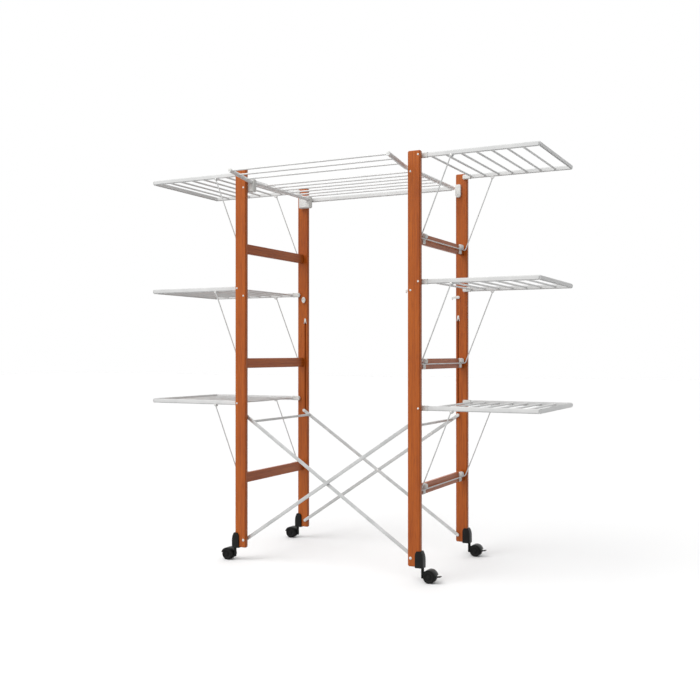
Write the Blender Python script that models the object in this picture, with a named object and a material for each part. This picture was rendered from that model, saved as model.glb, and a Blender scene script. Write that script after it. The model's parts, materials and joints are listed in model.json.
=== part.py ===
"""Folding clothes drying rack: two wooden ladders on casters, three drying wings on each
side, a swinging top shelf and a scissor that folds the ladders together.

Metres, +Z up. The origin is on the floor, in the middle of the whole rack. Everything hangs on
one empty, rack_frame, whose Y = 0 is halfway between the front and the rear posts.
"""
import math

import bmesh
import bpy
from mathutils import Matrix, Vector

# ---- clearances ------------------------------------------------------------------------------
GAP = 0.0003            # between pieces that touch
PIN_CLEARANCE = 0.0005  # round a pin that turns in a hole
SLIDE_CLEARANCE = 0.001 # each side of a peg in its groove

# ---- ladders ---------------------------------------------------------------------------------
POST_WIDTH = 0.054
POST_DEPTH = 0.020
POST_HEIGHT = 1.650
POST_EDGE = 0.003
POST_X = 0.410          # middle of a post
INNER_Y = 0.263         # inner face of a post, front and rear
POST_BOTTOM = 0.0585    # above the floor
RUNG_HEIGHT = 0.043
RUNG_THICKNESS = 0.016
RUNG_EDGE = 0.002
RUNG_INSET = 0.0165     # rung's outer face, in from the post's outer edge

# ---- wings and their stays -------------------------------------------------------------------
WING_LEVELS = (0.627, 1.130, 1.633)   # pivots, above the post's bottom
WING_PIVOT_INSET = 0.009              # pivot, in from the post's outer edge
WING_REACH = 0.484
WING_ROD_COUNT = 7
WING_ROD_RADIUS = 0.00425
WING_FIRST_ROD = 0.034                # out from the pivot
WING_ROD_PITCH = 0.0625
WING_RAIL_HEIGHT = 0.019
WING_RAIL_THICKNESS = 0.008
WING_RAIL_HEEL = 0.008                # rail's inner end, past the pivot
PIVOT_BOSS_RADIUS = 0.0065
STAY_RADIUS = 0.0025
STAY_DROP = 0.328                     # its lower bar, below the wing's pivot
STAY_HINGE_OUT = 0.130                # its upper pivot, out along the wing
STAY_HINGE_DOWN = 0.010
STAY_EYE_RADIUS = 0.006
STAY_BEND = 0.010
STAY_SLOT = 0.0065                    # room for the stay between post and wing rail
LUG_RADIUS = 0.0085
CLIP_Y = 0.210
CLIP_WIDTH = 0.025
CLIP_TOP = 0.022
CLIP_BOTTOM = 0.020
CLIP_BAR_ROOM = 0.0009                # round the stay's bar in its clip
CLIP_PLATE = 0.0055

# ---- top shelf -------------------------------------------------------------------------------
SHELF_LEVEL = 1.5925
SHELF_RAIL_RADIUS = 0.009
SHELF_ROD_RADIUS = 0.0037
SHELF_REAR_HEIGHT = 0.020             # of the flat bar that closes the rear
SHELF_REAR_THICKNESS = 0.012
SHELF_REAR_DROP = 0.002               # its middle, below the rails
SHELF_LEFT_GAP = 0.0055               # left rail to the left posts
SHELF_RIGHT_GAP = 0.010               # right rail to the right posts, so that it can swing
SHELF_OVERHANG = 0.166                # ahead of the bend
SHELF_TILT = math.radians(8)          # of the part ahead of the bend
SHELF_FRONT_RODS = (0.043, 0.101, 0.156)   # ahead of the bend
SHELF_ROD_PITCH = 0.0665
SHELF_ROD_COUNT = 6
SHELF_REAR_SPACE = 0.0995             # from the rear bar to the next rod
BRACKET_WIDTH = 0.063
BRACKET_NOSE = 0.0135                 # past the rail's axis, towards the middle
BRACKET_TOP = 0.0135                  # above the rail's axis
BRACKET_BOTTOM = 0.042                # below it
BRACKET_DEPTH = 0.026
CATCH_WIDTH = 0.025
CATCH_IN = 0.0015                     # from the post's inner edge
CATCH_TOP = 0.010                     # above the rail's axis
CATCH_BOTTOM = 0.048                  # below it
CATCH_DEPTH = 0.012

# ---- scissor ---------------------------------------------------------------------------------
SCISSOR_INSET = 0.012                 # its pivots, in from the post's inner edge
SCISSOR_LOW = 0.0325
SCISSOR_HIGH = 0.568
SCISSOR_TOP = 0.992                   # end of the slider groove
ARM_WIDTH = 0.015
ARM_THICKNESS = 0.006
ARM_SPACE = 0.001                     # between the two arms, and between arm and post
CROSSBAR_RADIUS = 0.0055
CROSSBAR_IN = 0.036                   # from the slider peg, along the arm
PEG_RADIUS = 0.003
PEG_DEPTH = 0.006                     # of a peg in its post
GROOVE_DEPTH = 0.008

# ---- casters ---------------------------------------------------------------------------------
WHEEL_RADIUS = 0.025
WHEEL_SIDES = 20                      # a flat facet rests on the floor
WHEEL_WIDTH = 0.014
WHEEL_GAP = 0.013                     # between the twin wheels
AXLE_RADIUS = 0.004
STEM_OUT = 0.006                      # swivel axis, out from the post's outer edge
WHEEL_TRAIL = 0.032                   # wheel axis, out from the swivel axis
STEM_RADIUS = 0.006
HOOD_THICKNESS = 0.0022
HOOD_ROOM = 0.0008
FLOOR_ROOM = 0.004                    # under the caster's web
WEB_THICKNESS = 0.011
SOCKET_HEIGHT = 0.066
SOCKET_LIP = 0.003                    # below the post
SOCKET_WALL = 0.006
SOCKET_COVER = 0.021                  # of the post's width that it wraps
SOCKET_OUT = 0.013
SOCKET_TAPER = 0.0095
SOCKET_SHOULDER = 0.010              # the rounding of its top, on the inner side
LEVER_LENGTH = 0.015
LEVER_WIDTH = 0.014
LEVER_THICKNESS = 0.004
LEVER_OUT = 0.004                     # its hinge, out from the hood
LEVER_UP = 0.002                      # its hinge, above the axle

# ---- latch -----------------------------------------------------------------------------------
LATCH_LEVEL = 1.096
KNOB_LEVEL = 1.105
HOOK_REACH = 0.030
HOOK_THICKNESS = 0.004
KNOB_RADIUS = 0.010
KNOB_TALL = 1.5                       # an oval: its height over its width
KNOB_LENGTH = 0.010
KNOB_OUT = 0.006                      # from the scissor's line, towards the post's outer edge

# ---- worked out from the sizes above ---------------------------------------------------------
POST_OUT = POST_X + POST_WIDTH / 2
POST_IN = POST_X - POST_WIDTH / 2
POST_MID_Y = INNER_Y + POST_DEPTH / 2
RUNG_OUT = POST_OUT - RUNG_INSET
RUNG_LEVELS = tuple(level - STAY_DROP for level in WING_LEVELS)
WING_PIVOT_X = POST_OUT - WING_PIVOT_INSET
RAIL_OUT_Y = INNER_Y - STAY_SLOT
RAIL_IN_Y = RAIL_OUT_Y - WING_RAIL_THICKNESS
STAY_Y = INNER_Y - 0.001 - STAY_RADIUS
STAY_BAR_X = RUNG_OUT + CLIP_PLATE + CLIP_BAR_ROOM + STAY_RADIUS
SHELF_LEFT_X = -(POST_IN - SHELF_LEFT_GAP - SHELF_RAIL_RADIUS)
SHELF_RIGHT_X = POST_IN - SHELF_RIGHT_GAP - SHELF_RAIL_RADIUS
SHELF_BEND_Y = -INNER_Y
SHELF_REAR_Y = POST_MID_Y
SCISSOR_X = POST_IN + SCISSOR_INSET
ARM_RISE = SCISSOR_HIGH - SCISSOR_LOW
ARM_LENGTH = math.hypot(2 * SCISSOR_X, ARM_RISE)
ARM_ANGLE = math.atan2(ARM_RISE, 2 * SCISSOR_X)
STEM_X = POST_OUT + STEM_OUT
WHEEL_X = STEM_X + WHEEL_TRAIL
AXLE_Z = WHEEL_RADIUS * math.cos(math.pi / WHEEL_SIDES)
HOOD_RADIUS = WHEEL_RADIUS + HOOD_ROOM + HOOD_THICKNESS
CASTER_HALF = WHEEL_GAP / 2 + WHEEL_WIDTH
FRONT_TIP = SHELF_BEND_Y - SHELF_OVERHANG
REAR_TIP = POST_MID_Y + CASTER_HALF
RACK_Y = -(FRONT_TIP + REAR_TIP) / 2

SIDES = {"left": -1, "right": 1}
ENDS = {"front": -1, "rear": 1}


# ---- scene and materials ---------------------------------------------------------------------
def clear_scene():
    for old in list(bpy.data.objects):
        bpy.data.objects.remove(old, do_unlink=True)


def make_material(name, colour, roughness, metallic=0.0):
    material = bpy.data.materials.new(name)
    material.use_nodes = True
    shader = material.node_tree.nodes["Principled BSDF"]
    shader.inputs["Base Color"].default_value = (*colour, 1.0)
    shader.inputs["Roughness"].default_value = roughness
    shader.inputs["Metallic"].default_value = metallic
    return material


def place(name, mesh, material, location, rotation=(0.0, 0.0, 0.0)):
    """Put one piece on the rack's frame. Shared meshes keep their first material."""
    if not mesh.materials:
        mesh.materials.append(material)
    piece = bpy.data.objects.new(name, mesh)
    bpy.context.scene.collection.objects.link(piece)
    piece.parent = rack_frame
    piece.location = location
    piece.rotation_euler = rotation
    return piece


def turned(side):
    """A piece of the left side is the right side's piece turned half round."""
    return (0.0, 0.0, 0.0 if side > 0 else math.pi)


# ---- mesh helpers ----------------------------------------------------------------------------
def to_mesh(shape, name="shape"):
    bmesh.ops.recalc_face_normals(shape, faces=shape.faces)
    mesh = bpy.data.meshes.new(name)
    shape.to_mesh(mesh)
    shape.free()
    return mesh


def add_box(shape, low, high, edge=0.0):
    size = Vector(high) - Vector(low)
    middle = (Vector(high) + Vector(low)) / 2
    fit = Matrix.Translation(middle) @ Matrix.Diagonal((*size, 1.0))
    made = bmesh.ops.create_cube(shape, size=1.0, matrix=fit)
    if edge:
        edges = {e for v in made["verts"] for e in v.link_edges}
        bmesh.ops.bevel(shape, geom=list(edges), offset=edge, segments=1, affect="EDGES")


def add_rod(shape, start, end, radius, sides=8):
    start, end = Vector(start), Vector(end)
    along = end - start
    turn = Vector((0, 0, 1)).rotation_difference(along).to_matrix().to_4x4()
    fit = Matrix.Translation((start + end) / 2) @ turn
    bmesh.ops.create_cone(shape, cap_ends=True, segments=sides, radius1=radius, radius2=radius,
                          depth=along.length, matrix=fit)


def add_prism(shape, outline, low_y, high_y):
    """An outline of (x, z) points, extruded from low_y to high_y."""
    near = [shape.verts.new((x, low_y, z)) for x, z in outline]
    far = [shape.verts.new((x, high_y, z)) for x, z in outline]
    shape.faces.new(near)
    shape.faces.new(reversed(far))
    for i in range(len(outline)):
        j = (i + 1) % len(outline)
        shape.faces.new((near[i], near[j], far[j], far[i]))


def add_wire(shape, points, radius, sides=8):
    """A bent wire: a ring at each point, square to the mean of its two runs."""
    points = [Vector(p) for p in points]
    rings = []
    normal = None
    for i, point in enumerate(points):
        before = (point - points[i - 1]).normalized() if i else None
        after = (points[i + 1] - point).normalized() if i + 1 < len(points) else None
        along = ((before or after) + (after or before)).normalized()
        if normal is None:
            normal = along.orthogonal()
        normal = (normal - along * normal.dot(along)).normalized()
        across = along.cross(normal)
        ring = []
        for k in range(sides):
            turn = 2 * math.pi * k / sides
            offset = normal * math.cos(turn) + across * math.sin(turn)
            ring.append(shape.verts.new(point + radius * offset))
        rings.append(ring)
    for first, second in zip(rings, rings[1:]):
        for k in range(sides):
            j = (k + 1) % sides
            shape.faces.new((first[k], first[j], second[j], second[k]))
    shape.faces.new(reversed(rings[0]))
    shape.faces.new(rings[-1])


def rounded_corner(before, corner, after, reach, steps=3):
    """Points of a smooth bend that leaves each run at reach from the corner."""
    before, corner, after = Vector(before), Vector(corner), Vector(after)
    start = corner + (before - corner).normalized() * reach
    end = corner + (after - corner).normalized() * reach
    bend = []
    for k in range(steps + 1):
        t = k / steps
        bend.append(start * (1 - t) ** 2 + corner * 2 * t * (1 - t) + end * t * t)
    return bend


def combine(base, joined=None, cut=None, name="shape"):
    """Union and difference with exact Booleans. The operands are meshes, used up here."""
    body = bpy.data.objects.new("body", base)
    bpy.context.scene.collection.objects.link(body)
    helpers = [body]
    for mesh, operation in ((joined, "UNION"), (cut, "DIFFERENCE")):
        if mesh is None:
            continue
        operand = bpy.data.objects.new("operand", mesh)
        operand.hide_render = True
        operand.display_type = "WIRE"
        bpy.context.scene.collection.objects.link(operand)
        helpers.append(operand)
        boolean = body.modifiers.new(operation.lower(), "BOOLEAN")
        boolean.operation = operation
        boolean.solver = "EXACT"
        boolean.object = operand
    view = bpy.context.evaluated_depsgraph_get()
    result = bpy.data.meshes.new_from_object(body.evaluated_get(view))
    for helper in helpers:
        bpy.data.objects.remove(helper, do_unlink=True)
    result.name = name
    shape = bmesh.new()
    shape.from_mesh(result)
    bmesh.ops.dissolve_limit(shape, angle_limit=math.radians(0.1), verts=shape.verts,
                             edges=shape.edges)
    shape.to_mesh(result)
    shape.free()
    result.materials.clear()
    return result


def mirrored(mesh):
    """A mirror image in X, with its faces still pointing out."""
    shape = bmesh.new()
    shape.from_mesh(mesh)
    bmesh.ops.transform(shape, matrix=Matrix.Diagonal((-1, 1, 1, 1)), verts=shape.verts)
    bmesh.ops.reverse_faces(shape, faces=shape.faces)
    copy = bpy.data.meshes.new(mesh.name + "_mirrored")
    shape.to_mesh(copy)
    shape.free()
    return copy


def shade_round(mesh):
    mesh.shade_smooth()
    mesh.set_sharp_from_angle(angle=math.radians(40))


# ---- ladders ---------------------------------------------------------------------------------
def post_mesh():
    """The rear right post, about its own foot. Its inner face is towards -Y."""
    block = bmesh.new()
    add_box(block, (-POST_WIDTH / 2, -POST_DEPTH / 2, 0),
            (POST_WIDTH / 2, POST_DEPTH / 2, POST_HEIGHT), POST_EDGE)
    inner = -POST_DEPTH / 2
    groove_x = SCISSOR_X - POST_X
    half = PEG_RADIUS + SLIDE_CLEARANCE
    cuts = bmesh.new()
    add_box(cuts, (groove_x - half, inner - 0.01, SCISSOR_HIGH - half - SLIDE_CLEARANCE),
            (groove_x + half, inner + GROOVE_DEPTH, SCISSOR_TOP + half))
    add_rod(cuts, (groove_x, inner - 0.01, SCISSOR_LOW),
            (groove_x, inner + GROOVE_DEPTH, SCISSOR_LOW), PEG_RADIUS + PIN_CLEARANCE)
    return combine(to_mesh(block), cut=to_mesh(cuts), name="post")


def build_posts():
    right_rear = post_mesh()
    left_rear = mirrored(right_rear)
    for side_name, side in SIDES.items():
        for end_name, end in ENDS.items():
            mesh = right_rear if side * end > 0 else left_rear
            turn = 0.0 if end > 0 else math.pi
            place(f"post_{side_name}_{end_name}", mesh, wood,
                  (side * POST_X, end * POST_MID_Y, POST_BOTTOM), (0.0, 0.0, turn))


def build_rungs():
    plank = bmesh.new()
    reach = INNER_Y - GAP
    add_box(plank, (-RUNG_THICKNESS / 2, -reach, -RUNG_HEIGHT / 2),
            (RUNG_THICKNESS / 2, reach, RUNG_HEIGHT / 2), RUNG_EDGE)
    mesh = to_mesh(plank, "rung")
    for side_name, side in SIDES.items():
        for number, level in enumerate(RUNG_LEVELS, 1):
            place(f"rung_{side_name}_{number}", mesh, wood,
                  (side * (RUNG_OUT - RUNG_THICKNESS / 2), 0, POST_BOTTOM + level))


# ---- wings -----------------------------------------------------------------------------------
def wing_mesh():
    """A right-hand wing about its pivot: two rails, joined by the rods and the end bar."""
    rails = bmesh.new()
    tip = WING_REACH - WING_RAIL_THICKNESS / 2
    for end in ENDS.values():
        low, high = sorted((end * RAIL_IN_Y, end * RAIL_OUT_Y))
        add_box(rails, (-WING_RAIL_HEEL, low, -WING_RAIL_HEIGHT / 2),
                (tip, high, WING_RAIL_HEIGHT / 2), 0.002)
    cross = bmesh.new()
    middle_y = (RAIL_IN_Y + RAIL_OUT_Y) / 2
    for k in range(WING_ROD_COUNT):
        x = WING_FIRST_ROD + k * WING_ROD_PITCH
        add_rod(cross, (x, -middle_y, 0), (x, middle_y, 0), WING_ROD_RADIUS)
    add_box(cross, (WING_REACH - WING_RAIL_THICKNESS, -RAIL_OUT_Y + GAP, GAP - WING_RAIL_HEIGHT / 2),
            (WING_REACH, RAIL_OUT_Y - GAP, WING_RAIL_HEIGHT / 2 - GAP), 0.002)
    for end in ENDS.values():
        add_rod(cross, (0, end * middle_y, 0), (0, end * (INNER_Y - 0.0005), 0),
                PIVOT_BOSS_RADIUS, 12)
        add_rod(cross, (STAY_HINGE_OUT, end * (RAIL_IN_Y + 0.001), -STAY_HINGE_DOWN),
                (STAY_HINGE_OUT, end * (RAIL_OUT_Y - 0.0005), -STAY_HINGE_DOWN), LUG_RADIUS, 12)
    return combine(to_mesh(rails), joined=to_mesh(cross), name="wing")


def stay_mesh():
    """A right-hand stay about its upper pivot: a wire bent to a U, with a flat eye at each end."""
    run_x = STAY_BAR_X - (WING_PIVOT_X + STAY_HINGE_OUT)
    run_z = -STAY_DROP + STAY_HINGE_DOWN
    front_eye = Vector((0, -STAY_Y, 0))
    rear_eye = Vector((0, STAY_Y, 0))
    front_corner = Vector((run_x, -STAY_Y, run_z))
    rear_corner = Vector((run_x, STAY_Y, run_z))
    path = [front_eye]
    path += rounded_corner(front_eye, front_corner, rear_corner, STAY_BEND)
    path += rounded_corner(front_corner, rear_corner, rear_eye, STAY_BEND)
    path.append(rear_eye)
    wire = bmesh.new()
    add_wire(wire, path, STAY_RADIUS)
    eyes = bmesh.new()
    for end in ENDS.values():
        add_rod(eyes, (0, end * (RAIL_OUT_Y + GAP), 0),
                (0, end * (STAY_Y + STAY_RADIUS), 0), STAY_EYE_RADIUS, 12)
    return combine(to_mesh(wire), joined=to_mesh(eyes), name="stay")


def clip_mesh():
    """A clip on the rung's outer face, about the stay's bar: a plate with a nose over the bar."""
    plate = -(CLIP_BAR_ROOM + STAY_RADIUS)
    nose = STAY_RADIUS + CLIP_BAR_ROOM
    back = plate - CLIP_PLATE + GAP
    outline = ((back, -CLIP_BOTTOM), (plate, -CLIP_BOTTOM), (plate, nose), (nose, nose),
               (nose + 0.003, nose + 0.004), (nose + 0.003, CLIP_TOP - 0.006),
               (nose - 0.002, CLIP_TOP), (back, CLIP_TOP))
    body = bmesh.new()
    add_prism(body, outline, -CLIP_WIDTH / 2, CLIP_WIDTH / 2)
    return to_mesh(body, "clip")


def build_wings():
    wing = wing_mesh()
    stay = stay_mesh()
    clip = clip_mesh()
    shade_round(wing)
    shade_round(stay)
    for side_name, side in SIDES.items():
        for number, level in enumerate(WING_LEVELS, 1):
            height = POST_BOTTOM + level
            place(f"wing_{side_name}_{number}", wing, white_paint,
                  (side * WING_PIVOT_X, 0, height), turned(side))
            place(f"stay_{side_name}_{number}", stay, steel,
                  (side * (WING_PIVOT_X + STAY_HINGE_OUT), 0, height - STAY_HINGE_DOWN),
                  turned(side))
            for end_name, end in ENDS.items():
                place(f"stay_clip_{side_name}_{number}_{end_name}", clip, white_plastic,
                      (side * STAY_BAR_X, end * CLIP_Y, height - STAY_DROP), turned(side))


# ---- top shelf -------------------------------------------------------------------------------
def shelf_height(y):
    """Height of a rail's middle above the swing axis: it rises ahead of the front posts."""
    return max(SHELF_BEND_Y - y, 0.0) * math.tan(SHELF_TILT)


def shelf_mesh():
    """About the left rail's axis."""
    across = SHELF_RIGHT_X - SHELF_LEFT_X
    rear = SHELF_REAR_Y + SHELF_RAIL_RADIUS
    rods = [SHELF_BEND_Y - ahead for ahead in SHELF_FRONT_RODS]
    first = SHELF_REAR_Y - SHELF_REAR_SPACE
    rods += [first - SHELF_ROD_PITCH * k for k in range(SHELF_ROD_COUNT)]
    rails = bmesh.new()
    for x in (0, across):
        points = [(x, y, shelf_height(y)) for y in (FRONT_TIP, SHELF_BEND_Y, rear)]
        add_wire(rails, points, SHELF_RAIL_RADIUS, 12)
    cross = bmesh.new()
    for y in rods:
        add_rod(cross, (0, y, shelf_height(y)), (across, y, shelf_height(y)), SHELF_ROD_RADIUS)
    half = Vector((0, SHELF_REAR_THICKNESS, SHELF_REAR_HEIGHT)) / 2
    middle = Vector((0, SHELF_REAR_Y, -SHELF_REAR_DROP))
    add_box(cross, middle - half, middle + half + Vector((across, 0, 0)), 0.003)
    return combine(to_mesh(rails), joined=to_mesh(cross), name="top_shelf")


def bracket_mesh(end):
    """A plastic block on a left post's inner face, bored for the shelf's rail."""
    block = bmesh.new()
    low, high = sorted((end * (INNER_Y - GAP), end * (INNER_Y - BRACKET_DEPTH)))
    add_box(block, (BRACKET_NOSE - BRACKET_WIDTH, low, -BRACKET_BOTTOM),
            (BRACKET_NOSE, high, BRACKET_TOP), 0.003)
    bore = bmesh.new()
    add_rod(bore, (0, -1, 0), (0, 1, 0), SHELF_RAIL_RADIUS + PIN_CLEARANCE, 12)
    return combine(to_mesh(block), cut=to_mesh(bore), name="shelf_bracket")


def catch_mesh(end):
    """A tall catch beside the shelf's right rail, on a post's inner face. It tapers below."""
    low, high = sorted((end * (INNER_Y - GAP), end * (INNER_Y - CATCH_DEPTH)))
    half = CATCH_WIDTH / 2
    outline = ((-half, -CATCH_BOTTOM + half), (-half / 3, -CATCH_BOTTOM),
               (half / 3, -CATCH_BOTTOM), (half, -CATCH_BOTTOM + half),
               (half, CATCH_TOP - half / 3), (half * 2 / 3, CATCH_TOP),
               (-half * 2 / 3, CATCH_TOP), (-half, CATCH_TOP - half / 3))
    plate = bmesh.new()
    add_prism(plate, outline, low, high)
    return to_mesh(plate, "shelf_catch")


def build_shelf():
    height = POST_BOTTOM + SHELF_LEVEL
    shelf = shelf_mesh()
    shade_round(shelf)
    place("top_shelf", shelf, white_paint, (SHELF_LEFT_X, 0, height))
    for end_name, end in ENDS.items():
        place(f"shelf_bracket_{end_name}", bracket_mesh(end), white_plastic,
              (SHELF_LEFT_X, 0, height))
        place(f"shelf_catch_{end_name}", catch_mesh(end), white_plastic,
              (POST_IN + CATCH_IN + CATCH_WIDTH / 2, 0, height))


# ---- scissor ---------------------------------------------------------------------------------
def scissor_mesh(layer, lean):
    """A scissor frame about its lower pivot, lean +1 up to the right, -1 up to the left.

    layer 0 runs next to the posts, layer 1 inside it.
    """
    outer = INNER_Y - ARM_SPACE - layer * (ARM_THICKNESS + ARM_SPACE)
    inner = outer - ARM_THICKNESS
    along = Vector((lean * math.cos(ARM_ANGLE), 0, math.sin(ARM_ANGLE)))
    across = Vector((-along.z, 0, along.x)) * (ARM_WIDTH / 2)
    top = along * ARM_LENGTH
    start_turn = math.atan2(across.z, across.x)
    outline = []
    for middle, turn in ((Vector((0, 0, 0)), start_turn), (top, start_turn + math.pi)):
        for k in range(7):
            angle = turn + math.pi * k / 6
            outline.append((middle.x + ARM_WIDTH / 2 * math.cos(angle),
                            middle.z + ARM_WIDTH / 2 * math.sin(angle)))
    arms = bmesh.new()
    pegs = bmesh.new()
    bar = along * (ARM_LENGTH - CROSSBAR_IN)
    middle_y = (inner + outer) / 2
    for end in ENDS.values():
        low, high = sorted((end * inner, end * outer))
        add_prism(arms, outline, low, high)
        for point in (Vector((0, 0, 0)), top):
            add_rod(pegs, (point.x, end * middle_y, point.z),
                    (point.x, end * (INNER_Y + PEG_DEPTH), point.z), PEG_RADIUS)
    add_rod(pegs, (bar.x, -middle_y, bar.z), (bar.x, middle_y, bar.z), CROSSBAR_RADIUS, 12)
    return combine(to_mesh(arms), joined=to_mesh(pegs), name="scissor")


def build_scissor():
    height = POST_BOTTOM + SCISSOR_LOW
    for name, layer, side in (("scissor_outer", 0, -1), ("scissor_inner", 1, 1)):
        mesh = scissor_mesh(layer, -side)
        shade_round(mesh)
        place(name, mesh, steel, (side * SCISSOR_X, 0, height))


# ---- casters ---------------------------------------------------------------------------------
def socket_mesh():
    """A right-hand socket about the swivel axis, at the post's bottom: it wraps the post's edge."""
    half = POST_DEPTH / 2 + SOCKET_WALL
    inner = POST_OUT - SOCKET_COVER - STEM_X
    body = bmesh.new()
    top = SOCKET_HEIGHT - SOCKET_LIP
    outer = SOCKET_OUT - STEM_OUT
    outline = ((inner, -SOCKET_LIP), (outer, -SOCKET_LIP), (outer, top * 0.40),
               (outer - SOCKET_TAPER * 0.25, top * 0.68), (outer - SOCKET_TAPER * 0.6, top * 0.88),
               (outer - SOCKET_TAPER, top), (inner + SOCKET_SHOULDER, top),
               (inner + SOCKET_SHOULDER * 0.3, top * 0.91), (inner, top * 0.74))
    add_prism(body, outline, -half, half)
    pocket = bmesh.new()
    add_box(pocket, (inner - 0.01, -POST_DEPTH / 2 - GAP, -GAP),
            (POST_OUT - STEM_X + GAP, POST_DEPTH / 2 + GAP, 0.1))
    return combine(to_mesh(body), cut=to_mesh(pocket), name="caster_socket")


def wheel_mesh():
    """Twin wheels on their axle, turned about Y."""
    profile = ((WHEEL_GAP / 2, WHEEL_RADIUS - 0.002), (WHEEL_GAP / 2 + 0.002, WHEEL_RADIUS),
               (CASTER_HALF - 0.004, WHEEL_RADIUS), (CASTER_HALF, WHEEL_RADIUS - 0.006))
    ring = [(-y, r) for y, r in reversed(profile)]
    ring += [(-WHEEL_GAP / 2, AXLE_RADIUS), (WHEEL_GAP / 2, AXLE_RADIUS)]
    ring += list(profile)
    sides = WHEEL_SIDES
    shape = bmesh.new()
    rows = []
    for y, radius in ring:
        row = []
        for k in range(sides):
            turn = 2 * math.pi * (k + 0.5) / sides
            row.append(shape.verts.new((radius * math.sin(turn), y, -radius * math.cos(turn))))
        rows.append(row)
    for first, second in zip(rows, rows[1:]):
        for k in range(sides):
            j = (k + 1) % sides
            shape.faces.new((first[k], first[j], second[j], second[k]))
    shape.faces.new(rows[0])
    shape.faces.new(reversed(rows[-1]))
    return to_mesh(shape, "caster_wheel")


def hood_mesh():
    """A right-hand caster body about the swivel axis, at the floor: web, stem and cover."""
    centre_x = WHEEL_TRAIL
    inner = WHEEL_RADIUS + HOOD_ROOM
    steps = 12
    start, finish = math.radians(12), math.radians(190)
    arc = [start + (finish - start) * k / steps for k in range(steps + 1)]
    outline = [(centre_x + HOOD_RADIUS * math.cos(a), AXLE_Z + HOOD_RADIUS * math.sin(a))
               for a in arc]
    outline += [(centre_x + inner * math.cos(a), AXLE_Z + inner * math.sin(a))
                for a in reversed(arc)]
    cover = bmesh.new()
    add_prism(cover, outline, -CASTER_HALF, CASTER_HALF)
    core = bmesh.new()
    add_rod(core, (centre_x, -WEB_THICKNESS / 2, AXLE_Z),
            (centre_x, WEB_THICKNESS / 2, AXLE_Z), inner + HOOD_THICKNESS / 2, 20)
    web = combine(to_mesh(cover), joined=to_mesh(core))
    stem = bmesh.new()
    foot = AXLE_Z * 0.6
    neck = POST_BOTTOM - SOCKET_LIP - GAP
    add_rod(stem, (0, 0, foot), (0, 0, neck), STEM_RADIUS, 12)
    link = bmesh.new()
    add_box(link, (STEM_RADIUS * 0.3, -WEB_THICKNESS / 2 + 0.0007, AXLE_Z - 0.006),
            (centre_x - 0.010, WEB_THICKNESS / 2 - 0.0007, AXLE_Z + inner * 0.62))
    web = combine(web, joined=to_mesh(link))
    bore = bmesh.new()
    add_rod(bore, (centre_x, -0.1, AXLE_Z), (centre_x, 0.1, AXLE_Z),
            AXLE_RADIUS + PIN_CLEARANCE, 12)
    add_box(bore, (-0.1, -0.1, -0.1), (0.1, 0.1, FLOOR_ROOM))
    return combine(web, joined=to_mesh(stem), cut=to_mesh(bore), name="caster_body")


def lever_mesh():
    """A right-hand brake lever about its own hinge, outside the cover."""
    rise = math.radians(10)
    root = 0.0025
    shape = bmesh.new()
    outline = []
    for k in range(7):
        turn = math.radians(60) + math.radians(240) * k / 6
        outline.append((root * math.cos(turn), root * math.sin(turn)))
    along = Vector((math.cos(rise), math.sin(rise)))
    across = Vector((-along.y, along.x)) * LEVER_THICKNESS / 2
    tip = along * LEVER_LENGTH
    outline += [(tip.x - across.x, tip.y - across.y), (tip.x + across.x, tip.y + across.y)]
    add_prism(shape, outline, -LEVER_WIDTH / 2, LEVER_WIDTH / 2)
    return to_mesh(shape, "brake_lever")


def build_casters():
    socket, wheel, hood, lever = socket_mesh(), wheel_mesh(), hood_mesh(), lever_mesh()
    for mesh in (wheel, hood):
        shade_round(mesh)
    for side_name, side in SIDES.items():
        for end_name, end in ENDS.items():
            tail = f"{side_name}_{end_name}"
            y = end * POST_MID_Y
            place(f"caster_socket_{tail}", socket, black_plastic,
                  (side * STEM_X, y, POST_BOTTOM), turned(side))
            place(f"caster_body_{tail}", hood, black_plastic, (side * STEM_X, y, 0), turned(side))
            place(f"caster_wheel_{tail}", wheel, black_rubber,
                  (side * WHEEL_X, y, AXLE_Z), turned(side))
            if side > 0:
                place(f"brake_lever_{tail}", lever, black_plastic,
                      (WHEEL_X + HOOD_RADIUS + LEVER_OUT, y, AXLE_Z + LEVER_UP))


# ---- latch -----------------------------------------------------------------------------------
def hook_mesh(end):
    """A hook on a right post's inner face, about its pivot, pointing at the other ladder."""
    low, high = sorted((end * (INNER_Y - GAP), end * (INNER_Y - GAP - HOOK_THICKNESS)))
    outline = ((0.006, -0.005), (0.006, 0.005), (0.0, 0.008), (-HOOK_REACH, 0.003),
               (-HOOK_REACH, -0.010), (-HOOK_REACH + 0.005, -0.010), (-HOOK_REACH + 0.006, -0.004),
               (-0.006, -0.006), (0.0, -0.008))
    shape = bmesh.new()
    add_prism(shape, outline, low, high)
    return to_mesh(shape, "latch_hook")


def knob_mesh(end):
    """An oval knob on a left post's inner face."""
    profile = ((GAP, KNOB_RADIUS * 0.6), (KNOB_LENGTH * 0.5, KNOB_RADIUS * 0.6),
               (KNOB_LENGTH * 0.6, KNOB_RADIUS), (KNOB_LENGTH * 0.85, KNOB_RADIUS),
               (KNOB_LENGTH, KNOB_RADIUS * 0.7))
    sides = 12
    shape = bmesh.new()
    rows = []
    for out, radius in profile:
        row = []
        for k in range(sides):
            turn = 2 * math.pi * k / sides
            row.append(shape.verts.new((radius * math.cos(turn), end * (INNER_Y - out),
                                        radius * KNOB_TALL * math.sin(turn))))
        rows.append(row)
    for first, second in zip(rows, rows[1:]):
        for k in range(sides):
            j = (k + 1) % sides
            shape.faces.new((first[k], first[j], second[j], second[k]))
    shape.faces.new(rows[0])
    shape.faces.new(rows[-1])
    return to_mesh(shape, "latch_knob")


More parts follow.
